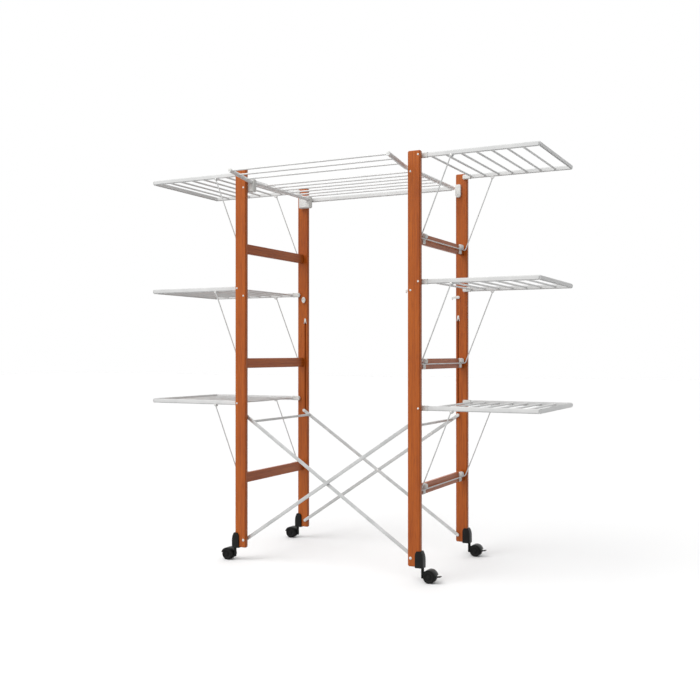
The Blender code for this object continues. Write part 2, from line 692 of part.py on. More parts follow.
def build_latches():
    for end_name, end in ENDS.items():
        place(f"latch_hook_{end_name}", hook_mesh(end), white_plastic,
              (SCISSOR_X, 0, POST_BOTTOM + LATCH_LEVEL))
        place(f"latch_knob_{end_name}", knob_mesh(end), white_plastic,
              (-SCISSOR_X - KNOB_OUT, 0, POST_BOTTOM + KNOB_LEVEL))


clear_scene()
rack_frame = bpy.data.objects.new("rack_frame", None)
rack_frame.location = (0, RACK_Y, 0)
bpy.context.scene.collection.objects.link(rack_frame)

wood = make_material("cherry_lacquer", (0.376, 0.102, 0.018), 0.42)
white_paint = make_material("white_paint", (0.82, 0.82, 0.80), 0.35)
steel = make_material("pale_steel", (0.62, 0.63, 0.62), 0.35, 0.6)
white_plastic = make_material("white_plastic", (0.80, 0.80, 0.78), 0.45)
black_plastic = make_material("black_plastic", (0.012, 0.013, 0.012), 0.40)
black_rubber = make_material("black_rubber", (0.015, 0.015, 0.015), 0.70)

build_posts()
build_rungs()
build_wings()
build_shelf()
build_scissor()
build_casters()
build_latches()
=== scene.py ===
# %% [markdown]
# # A folding clothes drying rack
#
# The rack is two wooden ladders on casters. Six white wire wings fold down from them, a shelf of
# rods joins them at the top, and a scissor of steel arms lets the two ladders close together.
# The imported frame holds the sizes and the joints. This lesson gives it its finished surfaces.
#
# Finished pieces take their places from the frame's own boxes and joints. Only small details,
# such as the rounding of an edge or the head of a screw, have sizes of their own here.

# %% Load the frame
import json
import math

import bmesh
import bpy
from mathutils import Matrix, Vector


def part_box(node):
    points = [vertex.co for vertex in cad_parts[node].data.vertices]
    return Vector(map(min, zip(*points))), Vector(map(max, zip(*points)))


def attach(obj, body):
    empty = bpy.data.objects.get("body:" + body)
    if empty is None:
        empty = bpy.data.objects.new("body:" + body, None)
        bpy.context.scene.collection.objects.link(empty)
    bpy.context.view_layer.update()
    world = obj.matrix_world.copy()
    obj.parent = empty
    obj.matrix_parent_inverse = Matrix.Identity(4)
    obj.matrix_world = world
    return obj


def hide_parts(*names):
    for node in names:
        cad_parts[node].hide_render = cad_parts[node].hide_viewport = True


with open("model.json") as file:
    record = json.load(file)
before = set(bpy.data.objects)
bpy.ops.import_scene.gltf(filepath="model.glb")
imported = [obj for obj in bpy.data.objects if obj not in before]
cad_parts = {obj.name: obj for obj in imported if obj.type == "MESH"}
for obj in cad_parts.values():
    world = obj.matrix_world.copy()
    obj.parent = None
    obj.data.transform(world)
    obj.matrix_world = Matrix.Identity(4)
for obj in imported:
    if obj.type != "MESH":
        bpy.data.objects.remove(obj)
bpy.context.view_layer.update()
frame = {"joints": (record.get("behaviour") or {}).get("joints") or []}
joint_at = {joint["name"]: Vector(joint.get("pos_m", (0, 0, 0))) for joint in frame["joints"]}

# %% [markdown]
# ## The camera
#
# Tall furniture looks right from chest height with the camera level, so that the posts stay
# upright in the view. The camera comes first, because each later piece is judged through it. It
# stands in front and to the right of the rack, and turns 27 degrees to the left.

# %% Camera
CAMERA_PLACE = (1.8503, -3.6124, 0.9034)
CAMERA_TURN = math.radians(26.906)
CAMERA_LIFT = math.radians(0.21)
CAMERA_LENS = 47.79

lens = bpy.data.cameras.new("camera")
lens.lens = CAMERA_LENS
lens.sensor_width = 36
camera = bpy.data.objects.new("camera", lens)
camera.location = CAMERA_PLACE
camera.rotation_euler = (math.pi / 2 + CAMERA_LIFT, 0, CAMERA_TURN)
bpy.context.scene.collection.objects.link(camera)
bpy.context.scene.camera = camera
print("camera at", CAMERA_PLACE, "lens", CAMERA_LENS, "mm")

# %% [markdown]
# ## Sizes read from the frame
#
# The frame's boxes give every size that the finished pieces share. A left piece is the right one
# turned half round, so most pieces are made once, about their own joint, and placed by a loop.

# %% Sizes
SIDES = {"left": -1, "right": 1}
ENDS = {"front": -1, "rear": 1}
LEVELS = (1, 2, 3)

post_low, post_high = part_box("post_right_rear")
MID_Y = (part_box("post_right_front")[0].y + post_high.y) / 2
INNER_Y = post_low.y - MID_Y
OUTER_Y = post_high.y - MID_Y
POST_DEPTH = post_high.y - post_low.y
POST_OUT = post_high.x
POST_BOTTOM = post_low.z
SCISSOR_X = joint_at["ladder_right_fold"].x
SCISSOR_LOW = joint_at["ladder_right_fold"].z
LADDER = {"left": "root", "right": "ladder_right"}
print("post", tuple(round(v, 4) for v in post_high - post_low), "middle y", round(MID_Y, 4))


def half_turn(side):
    """Turns a right-hand piece into a left-hand one, or leaves it."""
    return Matrix.Rotation(0.0 if side > 0 else math.pi, 4, "Z")


# %% [markdown]
# ## Making meshes
#
# A few small tools make nearly everything. A tube follows a line of points, a lathe turns a
# profile, a prism gives an outline thickness, and a soft box is a box with rounded edges. They
# write into a bmesh, so that several shapes can end up in one piece. Primitives with modifiers
# could do the same, but a profile written as numbers is easier to change and to read.
#
# The last four tools finish a piece: one makes the mesh, one puts it on its body, one rounds
# its edges by a bevel and one cuts a shape out of it.

# %% Mesh tools


def add_tube(shape, points, radius, sides=16, flat=1.0, flat_axis=None):
    """A closed tube through the points. flat squeezes it along flat_axis to an oval."""
    points = [Vector(p) for p in points]
    rings = []
    normal = None
    for i, point in enumerate(points):
        into = (point - points[i - 1]).normalized() if i else None
        out = (points[i + 1] - point).normalized() if i + 1 < len(points) else None
        along = ((into or out) + (out or into)).normalized()
        if normal is None:
            normal = Vector(flat_axis) if flat_axis else along.orthogonal()
        normal = (normal - along * normal.dot(along)).normalized()
        across = along.cross(normal)
        ring = []
        for k in range(sides):
            turn = 2 * math.pi * (k + 0.5) / sides
            offset = normal * (math.cos(turn) * radius * flat) + across * math.sin(turn) * radius
            ring.append(shape.verts.new(point + offset))
        rings.append(ring)
    for first, second in zip(rings, rings[1:]):
        for k in range(sides):
            j = (k + 1) % sides
            shape.faces.new((first[k], first[j], second[j], second[k]))
    shape.faces.new(reversed(rings[0]))
    shape.faces.new(rings[-1])


def add_lathe(shape, profile, place, axis, sides=32):
    """Turns (distance along axis, radius) points about axis through place."""
    turn_to = Vector((0, 0, 1)).rotation_difference(Vector(axis)).to_matrix().to_4x4()
    fit = Matrix.Translation(Vector(place)) @ turn_to
    rings = []
    for along, radius in profile:
        ring = []
        for k in range(sides):
            turn = 2 * math.pi * (k + 0.5) / sides
            point = Vector((radius * math.cos(turn), radius * math.sin(turn), along))
            ring.append(shape.verts.new(fit @ point))
        rings.append(ring)
    for first, second in zip(rings, rings[1:]):
        for k in range(sides):
            j = (k + 1) % sides
            shape.faces.new((first[k], first[j], second[j], second[k]))
    shape.faces.new(reversed(rings[0]))
    shape.faces.new(rings[-1])


def add_prism(shape, outline, low_y, high_y):
    """An outline of (x, z) points with a thickness in Y."""
    near = [shape.verts.new((x, low_y, z)) for x, z in outline]
    far = [shape.verts.new((x, high_y, z)) for x, z in outline]
    shape.faces.new(near)
    shape.faces.new(list(reversed(far)))
    for i in range(len(outline)):
        j = (i + 1) % len(outline)
        shape.faces.new((near[i], far[i], far[j], near[j]))


def add_soft_box(shape, low, high, edge, steps=3):
    """A box with rounded edges."""
    size = Vector(high) - Vector(low)
    middle = (Vector(high) + Vector(low)) / 2
    fit = Matrix.Translation(middle) @ Matrix.Diagonal((*size, 1.0))
    made = bmesh.ops.create_cube(shape, size=1.0, matrix=fit)
    edges = {e for v in made["verts"] for e in v.link_edges}
    bmesh.ops.bevel(shape, geom=list(edges), offset=edge, segments=steps, affect="EDGES")


def arc(middle, radius, start, end, steps):
    """Points of an arc in (x, z), angles in degrees."""
    points = []
    for k in range(steps + 1):
        turn = math.radians(start + (end - start) * k / steps)
        points.append((middle[0] + radius * math.cos(turn), middle[1] + radius * math.sin(turn)))
    return points


def smooth_bend(before, corner, after, reach, steps=8):
    """A bend that leaves each run at reach from the corner."""
    before, corner, after = Vector(before), Vector(corner), Vector(after)
    start = corner + (before - corner).normalized() * reach
    end = corner + (after - corner).normalized() * reach
    points = []
    for k in range(steps + 1):
        t = k / steps
        points.append(start * (1 - t) ** 2 + corner * 2 * t * (1 - t) + end * t * t)
    return points


def finish_mesh(shape, name):
    bmesh.ops.recalc_face_normals(shape, faces=shape.faces)
    mesh = bpy.data.meshes.new(name)
    shape.to_mesh(mesh)
    shape.free()
    mesh.shade_smooth()
    mesh.set_sharp_from_angle(angle=math.radians(35))
    return mesh


def put(name, mesh, place, material, body, stands_for=()):
    """Puts a finished mesh at a matrix, on its body, and hides the nodes it stands for."""
    mesh = mesh.copy()
    mesh.transform(place)
    mesh.materials.clear()
    mesh.materials.append(material)
    piece = bpy.data.objects.new(name, mesh)
    bpy.context.scene.collection.objects.link(piece)
    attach(piece, body)
    if stands_for:
        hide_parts(*stands_for)
    return piece


def round_edges(mesh, width, steps=2, angle=40):
    """Rounds the sharp edges of a mesh by a bevel that only takes edges over the angle."""
    holder = bpy.data.objects.new("holder", mesh)
    bpy.context.scene.collection.objects.link(holder)
    bevel = holder.modifiers.new("bevel", "BEVEL")
    bevel.width = width
    bevel.segments = steps
    bevel.limit_method = "ANGLE"
    bevel.angle_limit = math.radians(angle)
    bevel.harden_normals = False
    view = bpy.context.evaluated_depsgraph_get()
    rounded = bpy.data.meshes.new_from_object(holder.evaluated_get(view))
    bpy.data.objects.remove(holder, do_unlink=True)
    rounded.shade_smooth()
    rounded.set_sharp_from_angle(angle=math.radians(35))
    return rounded


def cut_away(mesh, cutter):
    """The mesh with the cutter's shape taken out."""
    body = bpy.data.objects.new("body", mesh)
    tool = bpy.data.objects.new("tool", cutter)
    for helper in (body, tool):
        bpy.context.scene.collection.objects.link(helper)
    boolean = body.modifiers.new("cut", "BOOLEAN")
    boolean.operation = "DIFFERENCE"
    boolean.solver = "EXACT"
    boolean.object = tool
    view = bpy.context.evaluated_depsgraph_get()
    result = bpy.data.meshes.new_from_object(body.evaluated_get(view))
    for helper in (body, tool):
        bpy.data.objects.remove(helper, do_unlink=True)
    result.shade_smooth()
    result.set_sharp_from_angle(angle=math.radians(35))
    return result


# %% [markdown]
# ## Node helpers
#
# A material here is a small tree: coordinates, a noise or two stretched to the right shape, a
# ramp that turns the noise into colour or roughness, and a bump. A helper for each keeps the
# materials short enough to read.

# %% Node helpers


def new_material(name, colour, roughness):
    """A material and its node tree, with the shader's plain numbers on its own sockets."""
    material = bpy.data.materials.new(name)
    material.use_nodes = True
    tree = material.node_tree
    shader = tree.nodes["Principled BSDF"]
    shader.inputs["Base Color"].default_value = (*colour, 1.0)
    shader.inputs["Roughness"].default_value = roughness
    return material, tree, shader


def stretched_noise(tree, stretch, scale, detail=4.0, roughness=0.55):
    """A noise on the object's own coordinates, stretched along each axis."""
    place = tree.nodes.new("ShaderNodeTexCoord")
    mapping = tree.nodes.new("ShaderNodeMapping")
    mapping.inputs["Scale"].default_value = stretch
    noise = tree.nodes.new("ShaderNodeTexNoise")
    noise.inputs["Scale"].default_value = scale
    noise.inputs["Detail"].default_value = detail
    noise.inputs["Roughness"].default_value = roughness
    tree.links.new(place.outputs["Object"], mapping.inputs["Vector"])
    tree.links.new(mapping.outputs["Vector"], noise.inputs["Vector"])
    return noise.outputs["Fac"]


def ramp(tree, factor, stops):
    """A colour ramp; stops are (position, colour)."""
    node = tree.nodes.new("ShaderNodeValToRGB")
    node.color_ramp.elements[0].position = stops[0][0]
    node.color_ramp.elements[0].color = (*stops[0][1], 1.0)
    node.color_ramp.elements[1].position = stops[-1][0]
    node.color_ramp.elements[1].color = (*stops[-1][1], 1.0)
    for position, colour in stops[1:-1]:
        element = node.color_ramp.elements.new(position)
        element.color = (*colour, 1.0)
    tree.links.new(factor, node.inputs["Fac"])
    return node.outputs["Color"]


def mix_colours(tree, factor, first, second, mode="MIX"):
    node = tree.nodes.new("ShaderNodeMix")
    node.data_type = "RGBA"
    node.blend_type = mode
    if isinstance(factor, float):
        node.inputs["Factor"].default_value = factor
    else:
        tree.links.new(factor, node.inputs["Factor"])
    tree.links.new(first, node.inputs["A"])
    tree.links.new(second, node.inputs["B"])
    return node.outputs["Result"]


def spread(tree, factor, low, high):
    """Maps a 0 to 1 factor onto low to high."""
    node = tree.nodes.new("ShaderNodeMapRange")
    node.inputs["To Min"].default_value = low
    node.inputs["To Max"].default_value = high
    tree.links.new(factor, node.inputs["Value"])
    return node.outputs["Result"]


def bump(tree, shader, height, strength, distance):
    node = tree.nodes.new("ShaderNodeBump")
    node.inputs["Strength"].default_value = strength
    node.inputs["Distance"].default_value = distance
    tree.links.new(height, node.inputs["Height"])
    tree.links.new(node.outputs["Normal"], shader.inputs["Normal"])


# %% [markdown]
# ## Cherry-stained wood
#
# The ladders are beech, stained to a warm orange cherry and lacquered. Beech has a fine straight
# grain and short dark flecks, and the stain sinks in a little unevenly. Stretching one noise
# very long along the board gives the grain, a second one gives the flecks and a slow third one
# the cloudy stain. The board's long axis is Z in a post and Y in a rung, so the stretch is a
# setting of the material's function.

# %% Wood


def cherry_wood(name, long_axis):
    material, tree, shader = new_material(name, (0.42, 0.105, 0.022), 0.36)

    def stretch(along, across):
        return tuple(along if axis == long_axis else across for axis in range(3))

    grain = stretched_noise(tree, stretch(1.1, 60.0), 3.0, 6.0, 0.6)
    flecks = stretched_noise(tree, stretch(9.0, 260.0), 2.2, 2.0, 0.4)
    stain = stretched_noise(tree, stretch(2.0, 6.0), 1.6, 3.0, 0.5)
    grain_colour = ramp(tree, grain, ((0.28, (0.250, 0.044, 0.004)), (0.47, (0.430, 0.092, 0.008)),
                                      (0.72, (0.560, 0.142, 0.014))))
    stain_colour = ramp(tree, stain, ((0.30, (0.340, 0.064, 0.005)),
                                      (0.70, (0.540, 0.134, 0.013))))
    colour = mix_colours(tree, 0.45, grain_colour, stain_colour)
    fleck_colour = ramp(tree, flecks, ((0.30, (0.45, 0.36, 0.30)), (0.46, (1.0, 1.0, 1.0))))
    colour = mix_colours(tree, 0.55, colour, fleck_colour, "MULTIPLY")
    tree.links.new(colour, shader.inputs["Base Color"])
    tree.links.new(spread(tree, grain, 0.44, 0.30), shader.inputs["Roughness"])
    bump(tree, shader, grain, 0.22, 0.0006)
    shader.inputs["Specular IOR Level"].default_value = 0.28
    shader.inputs["Coat Weight"].default_value = 0.06
    shader.inputs["Coat Roughness"].default_value = 0.2
    return material


post_wood = cherry_wood("cherry_wood_upright", 2)
rung_wood = cherry_wood("cherry_wood_cross", 1)
print("woods:", post_wood.name, rung_wood.name)

# %% [markdown]
# ## White enamel, coated steel and moulded plastic
#
# The wings and the shelf are enamelled white: the paint pools a little, so the surface is not
# quite even and its gloss varies. The shelf's rails get a lighter copy of the enamel, which is
# painted light: it only keeps them from looking darker than the wings in this light, and on
# the real rack the paint is presumably the same.
# The scissor and the stays are steel with a pale grey coat, with faint drawing lines along the
# metal. The plastic fittings have the fine eroded texture of an injection mould. All are light,
# so the detail sits in roughness and bump more than colour.

# %% Light finishes


def white_enamel(name, light):
    """Enamel whose colour is multiplied by light; a light above 1 makes it painted light."""
    material, tree, shader = new_material(name, (0.75 * light, 0.75 * light, 0.74 * light), 0.3)
    pooling = stretched_noise(tree, (1, 1, 1), 55.0, 3.0, 0.5)
    dust = stretched_noise(tree, (1, 1, 1), 9.0, 4.0, 0.6)
    dull = (0.68 * light, 0.685 * light, 0.68 * light)
    clean = (0.77 * light, 0.77 * light, 0.762 * light)
    tone = ramp(tree, dust, ((0.30, dull), (0.65, clean)))
    tree.links.new(tone, shader.inputs["Base Color"])
    tree.links.new(spread(tree, pooling, 0.22, 0.42), shader.inputs["Roughness"])
    bump(tree, shader, pooling, 0.12, 0.0004)
    shader.inputs["Coat Weight"].default_value = 0.3
    shader.inputs["Coat Roughness"].default_value = 0.12
    return material


def coated_steel():
    material, tree, shader = new_material("coated_steel", (0.60, 0.61, 0.60), 0.34)
    drawn = stretched_noise(tree, (220.0, 220.0, 14.0), 1.5, 3.0, 0.5)
    patches = stretched_noise(tree, (1, 1, 1), 14.0, 5.0, 0.6)
    tone = ramp(tree, patches, ((0.28, (0.50, 0.51, 0.505)), (0.62, (0.64, 0.645, 0.64)),
                                (0.80, (0.70, 0.705, 0.70))))
    tree.links.new(tone, shader.inputs["Base Color"])
    tree.links.new(spread(tree, drawn, 0.26, 0.46), shader.inputs["Roughness"])
    bump(tree, shader, drawn, 0.14, 0.0003)
    shader.inputs["Metallic"].default_value = 0.35
    return material


def moulded_white():
    material, tree, shader = new_material("moulded_white", (0.80, 0.80, 0.78), 0.42)
    erosion = stretched_noise(tree, (1, 1, 1), 900.0, 2.0, 0.5)
    flow = stretched_noise(tree, (1, 1, 1), 30.0, 3.0, 0.55)
    tone = ramp(tree, flow, ((0.30, (0.70, 0.70, 0.675)), (0.66, (0.80, 0.80, 0.775))))
    tree.links.new(tone, shader.inputs["Base Color"])
    tree.links.new(spread(tree, erosion, 0.36, 0.52), shader.inputs["Roughness"])
    bump(tree, shader, erosion, 0.16, 0.0002)
    shader.inputs["Subsurface Weight"].default_value = 0.04
    shader.inputs["Subsurface Radius"].default_value = (0.004, 0.004, 0.003)
    return material


white_paint = white_enamel("white_enamel", 1.0)
# The shelf rails' enamel is 1.22 times lighter: painted light, not a different paint.
rail_enamel_painted_light = white_enamel("shelf_enamel_painted_lighter", 1.22)
steel_coat = coated_steel()
white_plastic = moulded_white()
print("light finishes:", white_paint.name, rail_enamel_painted_light.name, steel_coat.name, white_plastic.name)

# %% [markdown]
# ## Black fittings, tyres and plated screws
#
# The casters are glossy black nylon with soft black tyres. Black needs variation most of all,
# because a flat black reads as a hole: scuffs lighten the nylon and lift its roughness, and the
# tyre is dusty grey where it rolls. The screws are zinc plated, with turning marks.

# %% Dark finishes and screws


def black_nylon():
    material, tree, shader = new_material("black_nylon", (0.012, 0.013, 0.012), 0.32)
    scuffs = stretched_noise(tree, (1, 1, 1), 70.0, 6.0, 0.65)
    erosion = stretched_noise(tree, (1, 1, 1), 1100.0, 2.0, 0.5)
    tone = ramp(tree, scuffs, ((0.35, (0.005, 0.0055, 0.005)), (0.62, (0.009, 0.0095, 0.009)),
                               (0.78, (0.022, 0.023, 0.021))))
    tree.links.new(tone, shader.inputs["Base Color"])
    tree.links.new(spread(tree, scuffs, 0.22, 0.46), shader.inputs["Roughness"])
    bump(tree, shader, erosion, 0.14, 0.0002)
    shader.inputs["Specular IOR Level"].default_value = 0.18
    return material


def tyre_rubber():
    material, tree, shader = new_material("tyre_rubber", (0.018, 0.018, 0.018), 0.72)
    dust = stretched_noise(tree, (1, 1, 1), 45.0, 5.0, 0.6)
    grit = stretched_noise(tree, (1, 1, 1), 700.0, 3.0, 0.6)
    tone = ramp(tree, dust, ((0.34, (0.006, 0.006, 0.006)), (0.60, (0.013, 0.013, 0.0125)),
                             (0.82, (0.040, 0.039, 0.036))))
    tree.links.new(tone, shader.inputs["Base Color"])
    tree.links.new(spread(tree, dust, 0.62, 0.84), shader.inputs["Roughness"])
    bump(tree, shader, grit, 0.3, 0.0003)
    shader.inputs["Specular IOR Level"].default_value = 0.2
    return material


def zinc_plate():
    material, tree, shader = new_material("zinc_plate", (0.72, 0.71, 0.69), 0.28)
    turning = stretched_noise(tree, (260.0, 40.0, 260.0), 2.0, 3.0, 0.5)
    tone = ramp(tree, turning, ((0.30, (0.60, 0.59, 0.57)), (0.70, (0.80, 0.79, 0.77))))
    tree.links.new(tone, shader.inputs["Base Color"])
    tree.links.new(spread(tree, turning, 0.2, 0.4), shader.inputs["Roughness"])
    bump(tree, shader, turning, 0.15, 0.0002)
    shader.inputs["Metallic"].default_value = 0.85
    return material


nylon = black_nylon()
tyre = tyre_rubber()
zinc = zinc_plate()
print("dark finishes and screws:", nylon.name, tyre.name, zinc.name)

# %% [markdown]
# ## Posts
#
# Each post is one board with its edges rounded over. Its inner face has a long groove, in which
# the upper end of a scissor arm slides, and a blind hole for the lower end's peg. The board is a
# soft box, and the groove is cut by a Boolean with round ends, as a router bit leaves it.

# %% Posts
POST_ROUND = 0.003
GROOVE_HALF = 0.004
GROOVE_DEPTH = 0.008
GROOVE_LOW = 0.568
GROOVE_HIGH = 0.992
GROOVE_END_ROOM = 0.001
PEG_HOLE = 0.0035
CUT_PAST_FACE = 0.01


def post_mesh(side, end):
    name = ("left", "right")[side > 0] + "_" + ("front", "rear")[end > 0]
    low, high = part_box(f"post_{name}")
    board = bmesh.new()
    add_soft_box(board, low, high, POST_ROUND)
    face = MID_Y + end * INNER_Y
    x = side * SCISSOR_X
    outline = arc((x, POST_BOTTOM + GROOVE_HIGH), GROOVE_HALF, 0, 180, 10)
    outline += arc((x, POST_BOTTOM + GROOVE_LOW - GROOVE_END_ROOM), GROOVE_HALF, 180, 360, 10)
    tool = bmesh.new()
    near, far = sorted((face - end * CUT_PAST_FACE, face + end * GROOVE_DEPTH))
    add_prism(tool, outline, near, far)
    add_prism(tool, arc((x, SCISSOR_LOW), PEG_HOLE, 0, 345, 23), near, far)
    return cut_away(finish_mesh(board, "post"), finish_mesh(tool, "groove"))


for side_name, side in SIDES.items():
    for end_name, end in ENDS.items():
        put(f"board_{side_name}_{end_name}", post_mesh(side, end), Matrix.Identity(4), post_wood,
            LADDER[side_name], [f"post_{side_name}_{end_name}"])
print("posts:", len(SIDES) * len(ENDS))

# %% [markdown]
# ## Rungs
#
# A rung is a narrow board set between two posts. Its ends butt against the posts, so only its
# long edges need rounding. A rounded box is enough, because the grain of the stained wood does
# the rest.

# %% Rungs
RUNG_ROUND = 0.0022
for side_name in SIDES:
    for level in LEVELS:
        node = f"rung_{side_name}_{level}"
        low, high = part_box(node)
        board = bmesh.new()
        add_soft_box(board, low, high, RUNG_ROUND)
        put(f"cross_board_{side_name}_{level}", finish_mesh(board, "rung"), Matrix.Identity(4),
            rung_wood, LADDER[side_name], [node])
print("rungs:", len(SIDES) * len(LEVELS), "section", round(high.x - low.x, 4), "x",
      round(high.z - low.z, 4))

# %% [markdown]
# ## Wings
#
# A wing is a ladder of its own: two flat rails, an outer bar of the same section and seven
# rods, all welded and then enamelled. Each rod is a tube whose ends run into the rails, with a
# small weld collar where they meet. A pivot boss sits at the inner end of each rail, and below
# the rail hangs the lug that carries the stay. The sizes come first.

# %% Wing sizes
wing_low, wing_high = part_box("wing_right_1")
pivot = joint_at["wing_right_1_fold"]
stay_hinge = joint_at["stay_right_1_fold"]
WING_REACH = wing_high.x - pivot.x
WING_HEEL = pivot.x - wing_low.x
ROD_COUNT = 7
ROD_RADIUS = 0.00425
FIRST_ROD = 0.034
ROD_PITCH = 0.0625
RAIL_OUT = INNER_Y - 0.0065
RAIL_THICK = 0.008
RAIL_HALF_HEIGHT = 0.0095
LUG_RADIUS = 0.0085
LUG_OUT = stay_hinge.x - pivot.x
LUG_DOWN = pivot.z - stay_hinge.z
BOSS_RADIUS = 0.0065
RAIL_ROUND = 0.0034
WELD_SINK = 0.0004
LUG_SINK = 0.001
rail_middle = RAIL_OUT - RAIL_THICK / 2
print("wing reach", round(WING_REACH, 4), "rail", RAIL_THICK, "x", 2 * RAIL_HALF_HEIGHT)

# %% [markdown]
# Rails and rods are one mesh and the outer bar is another, because a wing has too many rods to
# make each of them a piece. Weld collars are short turned cones at the rods' ends.


# %% Wing mesh
def wing_mesh():
    """A right-hand wing about its pivot."""
    shape = bmesh.new()
    for end in ENDS.values():
        near, far = sorted((end * (RAIL_OUT - RAIL_THICK), end * RAIL_OUT))
        heel = (-WING_HEEL, near, -RAIL_HALF_HEIGHT)
        tip = WING_REACH - RAIL_THICK * 0.4
        add_soft_box(shape, heel, (tip, far, RAIL_HALF_HEIGHT), RAIL_ROUND, 4)
    for k in range(ROD_COUNT):
        x = FIRST_ROD + k * ROD_PITCH
        add_tube(shape, ((x, -rail_middle, 0), (x, rail_middle, 0)), ROD_RADIUS, 14)
        for end in ENDS.values():
            start = end * (RAIL_OUT - RAIL_THICK + WELD_SINK)
            profile = ((0, ROD_RADIUS * 1.5), (0.0010, ROD_RADIUS * 1.3),
                       (0.0026, ROD_RADIUS * 1.08), (0.0036, ROD_RADIUS * 0.98))
            add_lathe(shape, profile, (x, start, 0), (0, -end, 0), 14)
    return finish_mesh(shape, "wing")


def wing_bar_mesh():
    """The end bar, of the rails' own section, and the pivot bosses and lugs."""
    shape = bmesh.new()
    add_soft_box(shape, (WING_REACH - RAIL_THICK, -RAIL_OUT, -RAIL_HALF_HEIGHT),
                 (WING_REACH, RAIL_OUT, RAIL_HALF_HEIGHT), RAIL_ROUND, 4)
    for end in ENDS.values():
        boss = ((0, BOSS_RADIUS), (INNER_Y - rail_middle - 0.0012, BOSS_RADIUS),
                (INNER_Y - rail_middle - 0.0005, BOSS_RADIUS - 0.0008))
        add_lathe(shape, boss, (0, end * rail_middle, 0), (0, end, 0), 24)
        lug = ((0, LUG_RADIUS - 0.0008), (0.0008, LUG_RADIUS), (RAIL_THICK - 0.0023, LUG_RADIUS),
               (RAIL_THICK - 0.0015, LUG_RADIUS - 0.0008))
        place = (LUG_OUT, end * (RAIL_OUT - RAIL_THICK + LUG_SINK), -LUG_DOWN)
        add_lathe(shape, lug, place, (0, end, 0), 24)
    return finish_mesh(shape, "wing_bar")


# %% [markdown]
# The rails' inner ends wear white plastic shoes, which keep the enamel off the wood as the wing
# turns. A shoe is a soft box a little larger than the rail, with a raised ridge at its open end.


# %% Wing shoes
SHOE_LENGTH = 0.040
SHOE_WALL = 0.0009
SHOE_ROUND = 0.0030
RIDGE_BACK = 0.006
RIDGE_WIDTH = 0.003
RIDGE_RISE = 0.0003


def shoe_mesh(end):
    shape = bmesh.new()
    near, far = sorted((end * (RAIL_OUT - RAIL_THICK - SHOE_WALL), end * (RAIL_OUT + SHOE_WALL)))
    add_soft_box(shape, (-WING_HEEL + 0.0002, near, -RAIL_HALF_HEIGHT - SHOE_WALL),
                 (SHOE_LENGTH - WING_HEEL, far, RAIL_HALF_HEIGHT + SHOE_WALL), SHOE_ROUND, 4)
    ridge_x = SHOE_LENGTH - WING_HEEL - RIDGE_BACK
    ridge_z = RAIL_HALF_HEIGHT + SHOE_WALL + RIDGE_RISE
    add_soft_box(shape, (ridge_x, near - RIDGE_RISE, -ridge_z),
                 (ridge_x + RIDGE_WIDTH, far + RIDGE_RISE, ridge_z), 0.0008, 2)
    return finish_mesh(shape, "shoe")


# %% [markdown]
# ## Stays and their clips
#
# One wire, bent twice to a U, holds each wing up: its two ends are flattened to eyes and riveted
# to the lugs, and its lower run snaps into two plastic clips on the rung. The bends are drawn as
# smooth curves, because a wire bent over a former never has a sharp corner.

# %% Stay sizes and mesh
STAY_RADIUS = 0.0025
STAY_Y = INNER_Y - 0.001 - STAY_RADIUS
STAY_BEND = 0.012
EYE_RADIUS = 0.006
EYE_SPACE = 0.0008
stay_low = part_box("stay_right_1")[0]
run_x = stay_low.x + STAY_RADIUS - stay_hinge.x
run_z = stay_low.z + STAY_RADIUS - stay_hinge.z
print("stay drops", round(-run_z, 4), "and runs in", round(-run_x, 4))


def stay_mesh():
    """A right-hand stay about its hinge."""
    shape = bmesh.new()
    eyes = {name: Vector((0, end * STAY_Y, 0)) for name, end in ENDS.items()}
    corners = {name: Vector((run_x, end * STAY_Y, run_z)) for name, end in ENDS.items()}
    path = [eyes["front"]]
    path += smooth_bend(eyes["front"], corners["front"], corners["rear"], STAY_BEND)
    path += smooth_bend(corners["front"], corners["rear"], eyes["rear"], STAY_BEND)
    path.append(eyes["rear"])
    add_tube(shape, path, STAY_RADIUS, 14)
    for name, end in ENDS.items():
        profile = ((0, EYE_RADIUS - 0.0006), (0.0006, EYE_RADIUS), (0.0040, EYE_RADIUS),
                   (0.0046, EYE_RADIUS - 0.0006))
        add_lathe(shape, profile, (0, end * (RAIL_OUT + EYE_SPACE), 0), (0, end, 0), 24)
    return finish_mesh(shape, "stay")


def rivet_mesh(radius, height, end):
    """A domed head about the origin, facing end along Y."""
    shape = bmesh.new()
    steps = 6
    profile = [(0, radius)]
    for k in range(1, steps):
        turn = math.pi / 2 * k / steps
        profile.append((height * math.sin(turn), radius * math.cos(turn)))
    profile.append((height, radius * 0.12))
    add_lathe(shape, profile, (0, 0, 0), (0, end, 0), 20)
    return finish_mesh(shape, "rivet")


# %% [markdown]
# A clip is a moulded plate with a hooked nose. Its outline is drawn in the plane that the wire
# crosses, so an arc about the wire gives the seat that grips it, and a bevel softens the edges.

# %% Clip mesh
clip_low, clip_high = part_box("stay_clip_right_1_rear")
bar_at = Vector((stay_hinge.x + run_x, 0, stay_hinge.z + run_z))
CLIP_HALF = (clip_high.y - clip_low.y) / 2
CLIP_BACK = clip_low.x - bar_at.x
CLIP_FRONT = clip_high.x - bar_at.x
CLIP_TOP = clip_high.z - bar_at.z
CLIP_BOTTOM = bar_at.z - clip_low.z
BAR_ROOM = STAY_RADIUS + 0.0009
NOSE_ROUND = 0.009
print("clip", round(2 * CLIP_HALF, 4), "wide,", round(CLIP_TOP + CLIP_BOTTOM, 4), "high")


